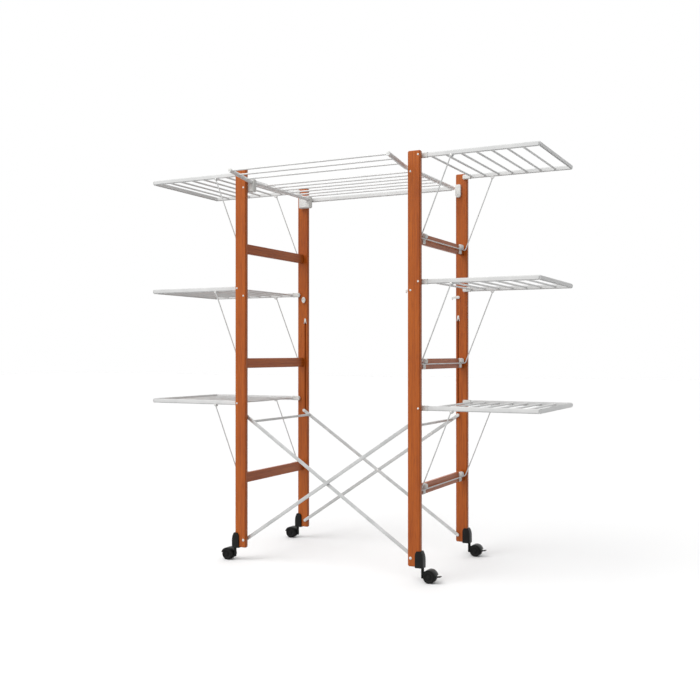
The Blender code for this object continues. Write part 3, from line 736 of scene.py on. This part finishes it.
def clip_mesh():
    """A right-hand clip about the stay's bar: a plate with a hooked nose that grips the bar."""
    outline = [(CLIP_BACK, -CLIP_BOTTOM), (-BAR_ROOM - 0.0012, -CLIP_BOTTOM),
               (-BAR_ROOM, -CLIP_BOTTOM + 0.004)]
    outline += arc((0, 0), BAR_ROOM, 180, 48, 12)
    outline += [(CLIP_FRONT - 0.0008, BAR_ROOM + 0.0014), (CLIP_FRONT, BAR_ROOM + 0.0045)]
    outline += arc((CLIP_FRONT - NOSE_ROUND, CLIP_TOP - NOSE_ROUND), NOSE_ROUND, 0, 90, 8)
    outline += [(CLIP_BACK, CLIP_TOP)]
    shape = bmesh.new()
    add_prism(shape, outline, -CLIP_HALF, CLIP_HALF)
    return round_edges(finish_mesh(shape, "clip"), 0.0010, 3)


# %% [markdown]
# Every wing, stay and clip is a copy of the same mesh, placed at its own joint. A left-hand
# copy is turned half round, which is why the meshes are made about their joints.

# %% Place the wings, stays and clips
STAY_RIVET_SINK = 0.0003
wing = wing_mesh()
wing_bar = wing_bar_mesh()
stay = stay_mesh()
clip = clip_mesh()
for side_name, side in SIDES.items():
    for level in LEVELS:
        tail = f"{side_name}_{level}"
        turn = half_turn(side)
        hinge = joint_at[f"wing_{tail}_fold"]
        at_wing = Matrix.Translation((hinge.x, MID_Y, hinge.z)) @ turn
        put(f"wing_rods_{tail}", wing, at_wing, white_paint, f"wing_{tail}",
            [f"wing_{tail}"])
        put(f"wing_bar_{tail}", wing_bar, at_wing, white_paint, f"wing_{tail}")
        hook = joint_at[f"stay_{tail}_fold"]
        at_stay = Matrix.Translation((hook.x, MID_Y, hook.z)) @ turn
        put(f"stay_wire_{tail}", stay, at_stay, steel_coat, f"stay_{tail}",
            [f"stay_{tail}"])
        for end_name, end in ENDS.items():
            full = f"{tail}_{end_name}"
            put(f"wing_shoe_{full}", shoe_mesh(end * side), at_wing, white_plastic,
                f"wing_{tail}")
            head_y = MID_Y + end * (STAY_Y + STAY_RADIUS - STAY_RIVET_SINK)
            head = Matrix.Translation((hook.x, head_y, hook.z))
            put(f"stay_rivet_{full}", rivet_mesh(0.0035, 0.0009, end), head, zinc,
                f"stay_{tail}")
            low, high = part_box(f"stay_clip_{full}")
            at_clip = Matrix.Translation((side * bar_at.x, (low.y + high.y) / 2,
                                          hinge.z - pivot.z + bar_at.z)) @ turn
            put(f"clip_{full}", clip, at_clip, white_plastic, LADDER[side_name],
                [f"stay_clip_{full}"])
print("wings:", len(SIDES) * len(LEVELS), "reach", round(WING_REACH, 4))

# %% [markdown]
# ## Hinge caps on the posts
#
# Each wing turns on a pin through the post. On the outer face the pin ends in a small white cap,
# one of the bright dots that run down the wood. The latch and the shelf fittings have caps too,
# and the scissor's lower hinge has a larger one.

# %% Caps
CAP_RADIUS = 0.0042
CAP_HEIGHT = 0.0016
SCISSOR_CAP_RADIUS = 0.006
SHELF_CAP_DOWN = 0.0245


def add_cap(name, x, z, end, body, radius=CAP_RADIUS):
    at = Matrix.Translation((x, MID_Y + end * OUTER_Y, z))
    put(name, rivet_mesh(radius, CAP_HEIGHT, end), at, white_plastic, body)


latch_z = joint_at["latch_hook_rear_turn"].z
shelf_z = joint_at["shelf_swing"].z
for side_name, side in SIDES.items():
    for end_name, end in ENDS.items():
        body = LADDER[side_name]
        for level in LEVELS:
            hinge = joint_at[f"wing_{side_name}_{level}_fold"]
            add_cap(f"hinge_cap_{side_name}_{level}_{end_name}", hinge.x, hinge.z, end, body)
        add_cap(f"scissor_cap_{side_name}_{end_name}", side * SCISSOR_X, SCISSOR_LOW, end, body,
                SCISSOR_CAP_RADIUS)
        add_cap(f"latch_cap_{side_name}_{end_name}", side * SCISSOR_X, latch_z, end, body)
        add_cap(f"shelf_cap_{side_name}_{end_name}", side * SCISSOR_X, shelf_z - SHELF_CAP_DOWN,
                end, body)
print("caps:", (len(LEVELS) + 3) * len(SIDES) * len(ENDS))

# %% [markdown]
# ## The top shelf
#
# The shelf is one welded grid. Its two rails run from front to rear and rise a little ahead of
# the front posts, where three rods hang clear of the ladders. Six more rods cross between the
# posts, and a flat bar closes the rear. The rails are tubes along a bent line, so that the rise
# has a smooth bend as a tube bender leaves it, and plugs close their front ends.

# %% Shelf
shelf_low, shelf_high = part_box("top_shelf")
SHELF_RAIL = 0.009
SHELF_ROD = 0.0037
SHELF_TILT = math.radians(8)
SHELF_BEND = 0.02
SHELF_FRONT_RODS = (0.043, 0.101, 0.156)
SHELF_REAR_SPACE = 0.0995
SHELF_ROD_PITCH = 0.0665
SHELF_ROD_COUNT = 6
REAR_BAR_HALF = 0.006
REAR_BAR_BELOW = 0.012
REAR_BAR_ABOVE = 0.008
REAR_BAR_ROUND = 0.0035
RAIL_END_ROOM = 0.0018
left_x = shelf_low.x + SHELF_RAIL
right_x = shelf_high.x - SHELF_RAIL
bend_y = MID_Y - INNER_Y
rear_y = shelf_high.y
front_y = shelf_low.y
bar_y = MID_Y + (INNER_Y + OUTER_Y) / 2
shelf_rods = [bend_y - ahead for ahead in SHELF_FRONT_RODS]
shelf_rods += [bar_y - SHELF_REAR_SPACE - SHELF_ROD_PITCH * k for k in range(SHELF_ROD_COUNT)]


def shelf_rise(y):
    """Height of the rails' middle at y."""
    return shelf_z + max(bend_y - y, 0.0) * math.tan(SHELF_TILT)


def shelf_rail_mesh():
    shape = bmesh.new()
    for x in (left_x, right_x):
        front = Vector((x, front_y + RAIL_END_ROOM, shelf_rise(front_y)))
        corner = Vector((x, bend_y, shelf_z))
        rear = Vector((x, rear_y, shelf_z))
        path = [front] + smooth_bend(front, corner, rear, SHELF_BEND) + [rear]
        add_tube(shape, path, SHELF_RAIL, 20)
    return finish_mesh(shape, "shelf_rails")


def shelf_rod_mesh():
    shape = bmesh.new()
    for y in shelf_rods:
        z = shelf_rise(y)
        add_tube(shape, ((left_x, y, z), (right_x, y, z)), SHELF_ROD, 14)
        for x, way in ((left_x, 1), (right_x, -1)):
            start = x + way * (SHELF_RAIL - 0.0008)
            profile = ((0, SHELF_ROD * 1.6), (0.0014, SHELF_ROD * 1.35),
                       (0.0034, SHELF_ROD * 1.1), (0.0044, SHELF_ROD * 0.98))
            add_lathe(shape, profile, (start, y, z), (way, 0, 0), 14)
    add_soft_box(shape, (left_x, bar_y - REAR_BAR_HALF, shelf_z - REAR_BAR_BELOW),
                 (right_x, bar_y + REAR_BAR_HALF, shelf_z + REAR_BAR_ABOVE), REAR_BAR_ROUND, 4)
    return finish_mesh(shape, "shelf_rods")


# The rails take the lighter enamel, painted light that keeps them from looking darker than the
# wings.
put("shelf_rails", shelf_rail_mesh(), Matrix.Identity(4), rail_enamel_painted_light, "top_shelf",
    ["top_shelf"])
put("shelf_rods", shelf_rod_mesh(), Matrix.Identity(4), white_paint, "top_shelf")


def plug_mesh(place, way):
    """A domed plug that closes a rail's end."""
    shape = bmesh.new()
    profile = ((-0.004, SHELF_RAIL - 0.0004), (0.0, SHELF_RAIL - 0.0002), (0.0009, 0.0078),
               (0.0016, 0.0052), (0.0018, 0.0015))
    add_lathe(shape, profile, place, (0, way, 0), 20)
    return finish_mesh(shape, "plug")


for side_name, x in (("left", left_x), ("right", right_x)):
    front_plug = plug_mesh((x, front_y + 0.0022, shelf_rise(front_y)), -1)
    put(f"shelf_plug_{side_name}_front", front_plug, Matrix.Identity(4), white_plastic,
        "top_shelf")
print("shelf rods:", len(shelf_rods))

# %% [markdown]
# ## Shelf brackets and catches
#
# The left rail turns in two plastic blocks screwed to the left posts. The right rail lies beside
# two tall catches. Each fitting is moulded, so every edge is rounded, and its screws are turned
# heads with a cross cut into them. The bracket's bore is cut by a Boolean, so that the rail
# really passes through it.

# %% Brackets and catches


def screw_mesh(radius, end):
    """A countersunk screw head with a cross slot, about the origin, facing end along Y."""
    shape = bmesh.new()
    profile = ((-0.0010, radius * 0.8), (0.0, radius), (0.0005, radius * 0.9),
               (0.0008, radius * 0.5))
    add_lathe(shape, profile, (0, 0, 0), (0, end, 0), 20)
    head = finish_mesh(shape, "screw")
    arm, half = radius * 0.62, radius * 0.13
    near, far = sorted((end * 0.0002, end * 0.003))
    for width, height in ((arm, half), (half, arm)):
        slot = bmesh.new()
        slot_outline = ((-width, -height), (width, -height), (width, height), (-width, height))
        add_prism(slot, slot_outline, near, far)
        head = cut_away(head, finish_mesh(slot, "slot"))
    return head


BRACKET_ROUND = 0.0035
BORE_ROOM = 0.0005
BORE_HALF = 0.06
CATCH_CORNER = 0.005
CATCH_FOOT = 0.95
CATCH_ROUND = 0.0018
for end_name, end in ENDS.items():
    low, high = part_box(f"shelf_bracket_{end_name}")
    block = bmesh.new()
    add_soft_box(block, low, high, BRACKET_ROUND, 4)
    bore = bmesh.new()
    bore_profile = ((-BORE_HALF, SHELF_RAIL + BORE_ROOM), (BORE_HALF, SHELF_RAIL + BORE_ROOM))
    add_lathe(bore, bore_profile, (left_x, (low.y + high.y) / 2, shelf_z), (0, 1, 0), 28)
    body = cut_away(finish_mesh(block, "bracket"), finish_mesh(bore, "bore"))
    put(f"bracket_{end_name}", body, Matrix.Identity(4), white_plastic, "root",
        [f"shelf_bracket_{end_name}"])
    face = low.y if end > 0 else high.y
    for k, z in enumerate((low.z + 0.010, high.z - 0.012), 1):
        at = Matrix.Translation((low.x + 0.012, face, z))
        put(f"bracket_screw_{end_name}_{k}", screw_mesh(0.0032, -end), at, zinc, "root")

    low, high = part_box(f"shelf_catch_{end_name}")
    middle = (low + high) / 2
    half = (high.x - low.x) / 2
    face = low.y if end > 0 else high.y
    outline = arc((middle.x, low.z + half * CATCH_FOOT), half, 180, 360, 18)
    shoulder = high.z - CATCH_CORNER
    outline += arc((high.x - CATCH_CORNER, shoulder), CATCH_CORNER, 0, 90, 6)
    outline += arc((low.x + CATCH_CORNER, shoulder), CATCH_CORNER, 90, 180, 6)
    plate = bmesh.new()
    add_prism(plate, [(x, max(z, low.z)) for x, z in outline], low.y, high.y)
    plate = round_edges(finish_mesh(plate, "catch"), CATCH_ROUND, 4)
    put(f"catch_{end_name}", plate, Matrix.Identity(4), white_plastic, "ladder_right",
        [f"shelf_catch_{end_name}"])
    for k, z in enumerate((low.z + 0.013, high.z - 0.010), 1):
        at = Matrix.Translation((middle.x, face, z))
        put(f"catch_screw_{end_name}_{k}", screw_mesh(0.0034, -end), at, zinc, "ladder_right")
print("brackets and catches:", 2 * len(ENDS))

# %% [markdown]
# ## The scissor
#
# Two frames cross at the middle and are riveted there. Each arm is a flattened tube with round
# ends, and a round crossbar ties its front and rear arms together near the top. The arm is an
# outline with thickness and bevelled edges, turned to its slope, and white sliders sit on its
# upper ends. It is made lying flat, because its round ends are easiest to draw there.

# %% Scissor
ARM_HALF_WIDTH = 0.0075
ARM_THICK = 0.006
ARM_SPACE = 0.001
ARM_ROUND = 0.0022
RIVET_REACH = (0.012, 0.118)
CROSSBAR_RADIUS = 0.0055
CROSSBAR_IN = 0.036
PEG_RADIUS = 0.003
PEG_DEPTH = 0.006
rivet_at = joint_at["scissor_inner_fold"]
arm_rise = 2 * (rivet_at.z - SCISSOR_LOW)
arm_length = math.hypot(2 * SCISSOR_X, arm_rise)
arm_angle = math.atan2(arm_rise, 2 * SCISSOR_X)
print("arm", round(arm_length, 4), "long, sloping", round(math.degrees(arm_angle), 1), "degrees")


def scissor_mesh(layer, lean):
    """A frame about its lower pivot; lean +1 rises to the right, -1 to the left."""
    outer = INNER_Y - ARM_SPACE - layer * (ARM_THICK + ARM_SPACE)
    inner = outer - ARM_THICK
    middle_y = (outer + inner) / 2
    tilt = arm_angle if lean > 0 else math.pi - arm_angle
    along = Vector((math.cos(tilt), 0, math.sin(tilt)))
    outline = arc((0, 0), ARM_HALF_WIDTH, 90, 270, 12)
    outline += arc((arm_length, 0), ARM_HALF_WIDTH, -90, 90, 12)
    shape = bmesh.new()
    for end in ENDS.values():
        near, far = sorted((end * inner, end * outer))
        add_prism(shape, outline, near, far)
    lay = Matrix.Rotation(-tilt, 4, "Y")
    bmesh.ops.transform(shape, matrix=lay, verts=shape.verts)
    arms = round_edges(finish_mesh(shape, "arms"), ARM_ROUND, 4)
    extra = bmesh.new()
    bar = along * (arm_length - CROSSBAR_IN)
    add_tube(extra, ((bar.x, -middle_y, bar.z), (bar.x, middle_y, bar.z)), CROSSBAR_RADIUS, 20)
    for end in ENDS.values():
        for point in (Vector((0, 0, 0)), along * arm_length):
            peg = ((0, PEG_RADIUS), (INNER_Y + PEG_DEPTH - middle_y - 0.0005, PEG_RADIUS),
                   (INNER_Y + PEG_DEPTH - middle_y, PEG_RADIUS - 0.0005))
            add_lathe(extra, peg, (point.x, end * middle_y, point.z), (0, end, 0), 20)
    extra.from_mesh(arms)
    return finish_mesh(extra, "scissor"), along, inner, outer


for name, layer, side in (("scissor_outer", 0, -1), ("scissor_inner", 1, 1)):
    mesh, along, inner, outer = scissor_mesh(layer, -side)
    foot = Vector((side * SCISSOR_X, MID_Y, SCISSOR_LOW))
    put(f"{name}_frame", mesh, Matrix.Translation(foot), steel_coat, name, [name])
    for end_name, end in ENDS.items():
        tip = foot + along * arm_length
        slider = bmesh.new()
        profile = ((0, 0.0070), (0.0006, 0.0074), (0.0016, 0.0074), (0.0022, 0.0066))
        add_lathe(slider, profile, (tip.x, MID_Y + end * inner, tip.z), (0, -end, 0), 28)
        put(f"{name}_slider_{end_name}", finish_mesh(slider, "slider"), Matrix.Identity(4),
            white_plastic, name)
        for k, reach in enumerate(RIVET_REACH, 1):
            spot = foot + along * (arm_length - CROSSBAR_IN - reach)
            at = Matrix.Translation((spot.x, MID_Y + end * inner, spot.z))
            put(f"{name}_rivet_{end_name}_{k}", rivet_mesh(0.0032, 0.0012, -end), at, zinc, name)
        at = Matrix.Translation((foot.x, MID_Y + end * inner, foot.z))
        put(f"{name}_foot_rivet_{end_name}", rivet_mesh(0.0045, 0.0016, -end), at, zinc, name)
for end_name, end in ENDS.items():
    reach_y = INNER_Y - ARM_SPACE - 2 * ARM_THICK - ARM_SPACE
    at = Matrix.Translation((rivet_at.x, MID_Y + end * reach_y, rivet_at.z))
    put(f"centre_rivet_{end_name}", rivet_mesh(0.0052, 0.0020, -end), at, zinc, "scissor_inner")

# %% [markdown]
# ## Groove stops
#
# Where a slider groove ends, a small white stop with two legs is pinned to the post. It catches
# the slider when the rack is folded up, and its legs make an arrow that points to the top. One
# outline with a round head is all it needs.

# %% Groove stops
STOP_Z = POST_BOTTOM + 1.003
STOP_THICK = 0.0024


def stop_mesh():
    outline = [(-0.0075, -0.013), (-0.0045, -0.013), (-0.0005, -0.001), (0.0005, -0.001),
               (0.0045, -0.013), (0.0075, -0.013), (0.0045, 0.006)]
    outline += arc((0, 0.008), 0.0045, 0, 180, 8)
    outline += [(-0.0045, 0.006)]
    shape = bmesh.new()
    add_prism(shape, outline, -STOP_THICK / 2, STOP_THICK / 2)
    return round_edges(finish_mesh(shape, "stop"), 0.0005, 2)


for side_name, side in SIDES.items():
    for end_name, end in ENDS.items():
        stop_y = MID_Y + end * (INNER_Y - STOP_THICK / 2)
        at = Matrix.Translation((side * SCISSOR_X, stop_y, STOP_Z))
        put(f"groove_stop_{side_name}_{end_name}", stop_mesh(), at, white_plastic,
            LADDER[side_name])
print("groove stops at", round(STOP_Z, 4))

# %% [markdown]
# ## Latch hooks and knobs
#
# When the rack is folded, a hook on each right-hand post drops over an oval knob on the left
# one. Both are moulded, so their edges are soft, and the knob is hollowed in the middle. The
# knob is turned on a lathe and then stretched upwards, which is the short way to an oval.

# %% Latch
KNOB_GAP = 0.0003
for end_name, end in ENDS.items():
    node = f"latch_hook_{end_name}"
    low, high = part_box(node)
    at = joint_at[f"{node}_turn"]
    reach = at.x - low.x
    outline = arc((0, 0), 0.0078, -60, 120, 12)
    outline += [(-reach + 0.004, 0.0040)]
    outline += arc((-reach + 0.0035, 0.0005), 0.0035, 90, 180, 6)
    outline += [(-reach, -0.0080), (-reach + 0.0012, -0.0100), (-reach + 0.0048, -0.0100),
                (-reach + 0.0062, -0.0035), (-0.0060, -0.0052)]
    shape = bmesh.new()
    add_prism(shape, outline, low.y, high.y)
    hook = round_edges(finish_mesh(shape, "hook"), 0.0008, 3)
    put(f"hook_{end_name}", hook, Matrix.Translation((at.x, 0, at.z)), white_plastic, node,
        [node])
    face = low.y if end > 0 else high.y
    put(f"hook_screw_{end_name}", screw_mesh(0.0034, -end), Matrix.Translation((at.x, face, at.z)),
        zinc, node)
    node = f"latch_knob_{end_name}"
    low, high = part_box(node)
    radius = (high.x - low.x) / 2
    length = high.y - low.y
    profile = ((0, radius * 0.72), (length * 0.08, radius * 0.60), (length * 0.42, radius * 0.56),
               (length * 0.55, radius * 0.80), (length * 0.64, radius * 0.98),
               (length * 0.74, radius), (length * 0.88, radius * 0.96),
               (length * 0.97, radius * 0.82), (length, radius * 0.66),
               (length * 0.98, radius * 0.50), (length * 0.80, radius * 0.42),
               (length * 0.62, radius * 0.38))
    shape = bmesh.new()
    add_lathe(shape, profile, (0, 0, 0), (0, -end, 0), 40)
    middle = (low + high) / 2
    tall = Matrix.Diagonal((1, 1, (high.z - low.z) / (high.x - low.x), 1))
    at = Matrix.Translation((middle.x, MID_Y + end * (INNER_Y - KNOB_GAP), middle.z)) @ tall
    put(f"knob_{end_name}", finish_mesh(shape, "knob"), at, white_plastic, "root",
        [node])
    print(f"knob {end_name}:", round(high.x - low.x, 4), "x", round(high.z - low.z, 4))

# %% [markdown]
# ## Casters
#
# A black socket grips each post's foot. Below it a swivelling body carries a hood over twin
# wheels, and the two right-hand casters have a brake lever. The sizes come from the frame, and
# every part is made about its own axis, so that it turns as it does on the rack.

# %% Caster sizes
stem = joint_at["caster_swivel_right_front"]
axle = joint_at["caster_spin_right_front"]
body_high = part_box("caster_body_right_front")[1]
wheel_low, wheel_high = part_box("caster_wheel_right_front")
TRAIL = axle.x - stem.x
AXLE_Z = axle.z
WHEEL_RADIUS = 0.025
CASTER_HALF = (wheel_high.y - wheel_low.y) / 2
WHEEL_GAP = 0.013
HOOD_RADIUS = WHEEL_RADIUS + 0.003
HOOD_IN = WHEEL_RADIUS + 0.0008
AXLE_RADIUS = 0.004
WEB_HALF = 0.0055
STEM_RADIUS = 0.006
print("wheel", 2 * WHEEL_RADIUS, "across, trail", round(TRAIL, 4))


# %% [markdown]
# A twin wheel is one lathe profile with a gap in the middle. Its tread has a shallow groove and
# a rounded shoulder, and its hub is dished, which catches a ring of light.

# %% Wheels
def wheel_mesh():
    """Twin wheels about the axle: dished hubs and a tread with a shallow groove."""
    half = CASTER_HALF
    gap = WHEEL_GAP / 2
    one = [(gap, AXLE_RADIUS), (gap, WHEEL_RADIUS - 0.0035), (gap + 0.0006, WHEEL_RADIUS - 0.0014),
           (gap + 0.0018, WHEEL_RADIUS - 0.0004), (gap + 0.0055, WHEEL_RADIUS - 0.0003),
           (gap + 0.0062, WHEEL_RADIUS - 0.0010), (gap + 0.0070, WHEEL_RADIUS - 0.0003),
           (half - 0.0034, WHEEL_RADIUS - 0.0006), (half - 0.0012, WHEEL_RADIUS - 0.0030),
           (half - 0.0002, WHEEL_RADIUS - 0.0065), (half - 0.0012, WHEEL_RADIUS - 0.0085),
           (half - 0.0034, WHEEL_RADIUS - 0.0100), (half - 0.0040, 0.0085), (half - 0.0012, 0.0070),
           (half - 0.0006, 0.0030)]
    profile = [(-y, r) for y, r in reversed(one)] + one
    shape = bmesh.new()
    add_lathe(shape, profile, (0, 0, 0), (0, 1, 0), 48)
    return finish_mesh(shape, "wheels")


# %% [markdown]
# The body is an arc with thickness, closed by the web between the wheels, with the stem at its
# side and a short neck between them. The hood's edges are bevelled and the axle's hole is cut
# out of the web.

# %% Hood, web and stem
HOOD_ROUND = 0.0008


def hood_mesh():
    """A right-hand caster body about the swivel axis at axle height."""
    hub = (TRAIL, 0)
    outline = arc(hub, HOOD_RADIUS, 12, 190, 36)
    outline += arc(hub, HOOD_IN, 190, 12, 36)
    cover = bmesh.new()
    add_prism(cover, outline, -CASTER_HALF, CASTER_HALF)
    hood = round_edges(finish_mesh(cover, "hood"), HOOD_ROUND, 2)
    web_outline = arc(hub, HOOD_IN + 0.0008, -38, 218, 40)
    core = bmesh.new()
    add_prism(core, web_outline, -WEB_HALF, WEB_HALF)
    bore = bmesh.new()
    add_lathe(bore, ((-0.05, AXLE_RADIUS + 0.0005), (0.05, AXLE_RADIUS + 0.0005)),
              (TRAIL, 0, 0), (0, 1, 0), 28)
    web = cut_away(finish_mesh(core, "web"), finish_mesh(bore, "bore"))
    shape = bmesh.new()
    shape.from_mesh(hood)
    shape.from_mesh(web)
    top = body_high.z - AXLE_Z
    stem_foot = AXLE_Z * 0.6 - AXLE_Z
    profile = ((stem_foot, STEM_RADIUS - 0.001), (stem_foot + 0.001, STEM_RADIUS),
               (top, STEM_RADIUS))
    add_lathe(shape, profile, (0, 0, 0), (0, 0, 1), 28)
    add_soft_box(shape, (STEM_RADIUS * 0.3, -0.0048, -0.006), (TRAIL - 0.010, 0.0048, 0.0172),
                 0.001, 2)
    return finish_mesh(shape, "caster_body")


# %% [markdown]
# The socket is a bullet-shaped block round the post's edge. Its outline is straight below and
# curves in to the top on both sides, and the post's own space is cut out of it with a small gap.
# The lever is a flat pad with three grip ridges, tilted upwards as a whole.

# %% Socket and lever
SOCKET_SHOULDER = 0.010
SOCKET_NARROWING = 0.0098
SOCKET_STEPS = 12
POST_GAP = 0.0003
LEVER_RISE = math.radians(10)
socket_low, socket_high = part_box("caster_socket_right_front")


def socket_mesh():
    """A right-hand socket about the swivel axis, at the post's bottom."""
    inner = socket_low.x - stem.x
    outer = socket_high.x - stem.x
    lip = socket_low.z - POST_BOTTOM
    top = socket_high.z - POST_BOTTOM
    half = (socket_high.y - socket_low.y) / 2
    outline = [(inner, lip), (outer - 0.001, lip), (outer, lip + 0.001), (outer, top * 0.40)]
    for k in range(1, SOCKET_STEPS + 1):
        t = k / SOCKET_STEPS
        outline.append((outer - SOCKET_NARROWING * t ** 2.4, top * (0.40 + 0.60 * t)))
    for k in range(SOCKET_STEPS + 1):
        turn = math.pi / 2 * k / SOCKET_STEPS
        outline.append((inner + SOCKET_SHOULDER - SOCKET_SHOULDER * math.sin(turn),
                        top - top * 0.28 * (1 - math.cos(turn))))
    body = bmesh.new()
    add_prism(body, outline, -half, half)
    solid = round_edges(finish_mesh(body, "socket"), 0.0022, 4)
    pocket = bmesh.new()
    add_soft_box(pocket, (inner - 0.01, -POST_DEPTH / 2 - POST_GAP, -POST_GAP),
                 (POST_OUT - stem.x + POST_GAP, POST_DEPTH / 2 + POST_GAP, 0.1), 0.0002, 1)
    return cut_away(solid, finish_mesh(pocket, "pocket"))


lever_low, lever_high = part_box("brake_lever_right_front")
lever_at = joint_at["brake_lever_right_front_press"]


def lever_mesh():
    """A brake lever about its hinge: a round root, a flat pad and three grip ridges."""
    reach = (lever_high.x - lever_at.x) - 0.0006
    half = (lever_high.y - lever_low.y) / 2
    shape = bmesh.new()
    outline = arc((0, 0), 0.0025, 60, 300, 12)
    outline += [(reach - 0.002, -0.0020), (reach, -0.0010), (reach, 0.0010),
                (reach - 0.002, 0.0018)]
    add_prism(shape, outline, -half, half)
    for k in range(3):
        ridge = reach - 0.0034 - 0.0026 * k
        add_prism(shape, arc((ridge, 0.0015), 0.0008, 0, 180, 6), -half + 0.002, half - 0.002)
    bmesh.ops.transform(shape, matrix=Matrix.Rotation(-LEVER_RISE, 4, "Y"), verts=shape.verts)
    return finish_mesh(shape, "lever")


# %% [markdown]
# Four casters are copies of one, placed at their swivel and wheel axes. Those on the left are
# turned half round, so that all the wheels trail outwards.

# %% Place the casters
wheels = wheel_mesh()
hood = hood_mesh()
socket = socket_mesh()
lever = lever_mesh()
for side_name, side in SIDES.items():
    for end_name, end in ENDS.items():
        tail = f"{side_name}_{end_name}"
        turn = half_turn(side)
        swivel = joint_at[f"caster_swivel_{tail}"]
        spin = joint_at[f"caster_spin_{tail}"]
        at_post = Matrix.Translation((swivel.x, swivel.y, POST_BOTTOM)) @ turn
        put(f"socket_{tail}", socket, at_post, nylon, LADDER[side_name],
            [f"caster_socket_{tail}"])
        put(f"hood_{tail}", hood, Matrix.Translation(swivel) @ turn, nylon, f"caster_body_{tail}",
            [f"caster_body_{tail}"])
        put(f"wheels_{tail}", wheels, Matrix.Translation(spin) @ turn, tyre,
            f"caster_wheel_{tail}", [f"caster_wheel_{tail}"])
        if side > 0:
            at = joint_at[f"brake_lever_{tail}_press"]
            put(f"lever_{tail}", lever, Matrix.Translation(at), nylon, f"brake_lever_{tail}",
                [f"brake_lever_{tail}"])
print("casters:", len(SIDES) * len(ENDS))

# %% [markdown]
# ## Floor and light
#
# The rack stands in a white studio. One wide floor runs back to the horizon, so evenly lit that
# it almost disappears, with soft shadows under the casters. A real floor would also light the
# undersides of the white rods, which would then stand out less against the white, so this one
# is left out of the diffuse bounces.

# %% Floor
FLOOR_HALF = 30
FLOOR_BELOW = 0.0002
floor_mesh = bmesh.new()
bmesh.ops.create_grid(floor_mesh, x_segments=1, y_segments=1, size=FLOOR_HALF)
floor_data = bpy.data.meshes.new("floor")
floor_mesh.to_mesh(floor_data)
floor_mesh.free()
floor = bpy.data.objects.new("floor", floor_data)
floor.location.z = -FLOOR_BELOW
floor.visible_diffuse = False
floor_material, _, floor_shader = new_material("studio_floor", (0.90, 0.90, 0.90), 0.8)
floor_shader.inputs["Specular IOR Level"].default_value = 0.1
floor_data.materials.append(floor_material)
bpy.context.scene.collection.objects.link(floor)
print("floor", 2 * FLOOR_HALF, "m wide")

# %% [markdown]
# A broad sun lights everything evenly from the front left, and its wide angle keeps the shadows
# soft. A large lamp above and ahead of the rack makes the wood brighter towards the top.

# %% Lamps


def add_lamp(name, kind, place, target, power):
    lamp = bpy.data.lights.new(name, kind)
    lamp.energy = power
    holder = bpy.data.objects.new(name, lamp)
    holder.location = place
    holder.rotation_euler = (Vector(target) - Vector(place)).to_track_quat("-Z", "Y").to_euler()
    bpy.context.scene.collection.objects.link(holder)
    return lamp


broad_sun = add_lamp("broad_sun", "SUN", (-1.6, -2.2, 3.8), (0, 0, 0), 1.0)
broad_sun.angle = math.radians(40)
top_light = add_lamp("top_light", "AREA", (-0.6, -2.0, 3.4), (0, 0, 1.4), 20)
top_light.size = 2.2
print("lamps:", broad_sun.name, top_light.name)

# %% [markdown]
# The world is white, but it fades to grey below the horizon and towards the right. White rods
# show only where something grey falls on them, and this gives each of them a grey side without
# any dark card in the scene. The fades are chosen for the view from the front; from other sides
# the background itself looks grey.

# %% World
BELOW_FADE = (-0.45, -0.06, 0.40, 1.0)
RIGHT_FADE = (0.10, 0.90, 1.0, 0.35)


def add_fade(tree, part, low, high, at_low, at_high):
    """Fades the world's strength between two values along one part of the direction."""
    fade = tree.nodes.new("ShaderNodeMapRange")
    fade.inputs["From Min"].default_value = low
    fade.inputs["From Max"].default_value = high
    fade.inputs["To Min"].default_value = at_low
    fade.inputs["To Max"].default_value = at_high
    tree.links.new(part, fade.inputs["Value"])
    return fade.outputs["Result"]


world = bpy.data.worlds.new("studio")
world.use_nodes = True
world_tree = world.node_tree
sky = world_tree.nodes["Background"]
sky.inputs["Color"].default_value = (1.0, 1.0, 1.0, 1.0)
way = world_tree.nodes.new("ShaderNodeTexCoord")
parts = world_tree.nodes.new("ShaderNodeSeparateXYZ")
both = world_tree.nodes.new("ShaderNodeMath")
both.operation = "MULTIPLY"
world_tree.links.new(way.outputs["Generated"], parts.inputs["Vector"])
world_tree.links.new(add_fade(world_tree, parts.outputs["Z"], *BELOW_FADE), both.inputs[0])
world_tree.links.new(add_fade(world_tree, parts.outputs["X"], *RIGHT_FADE), both.inputs[1])
world_tree.links.new(both.outputs["Value"], sky.inputs["Strength"])
bpy.context.scene.world = world
bpy.context.scene.view_settings.view_transform = "Standard"
print("world:", world.name)
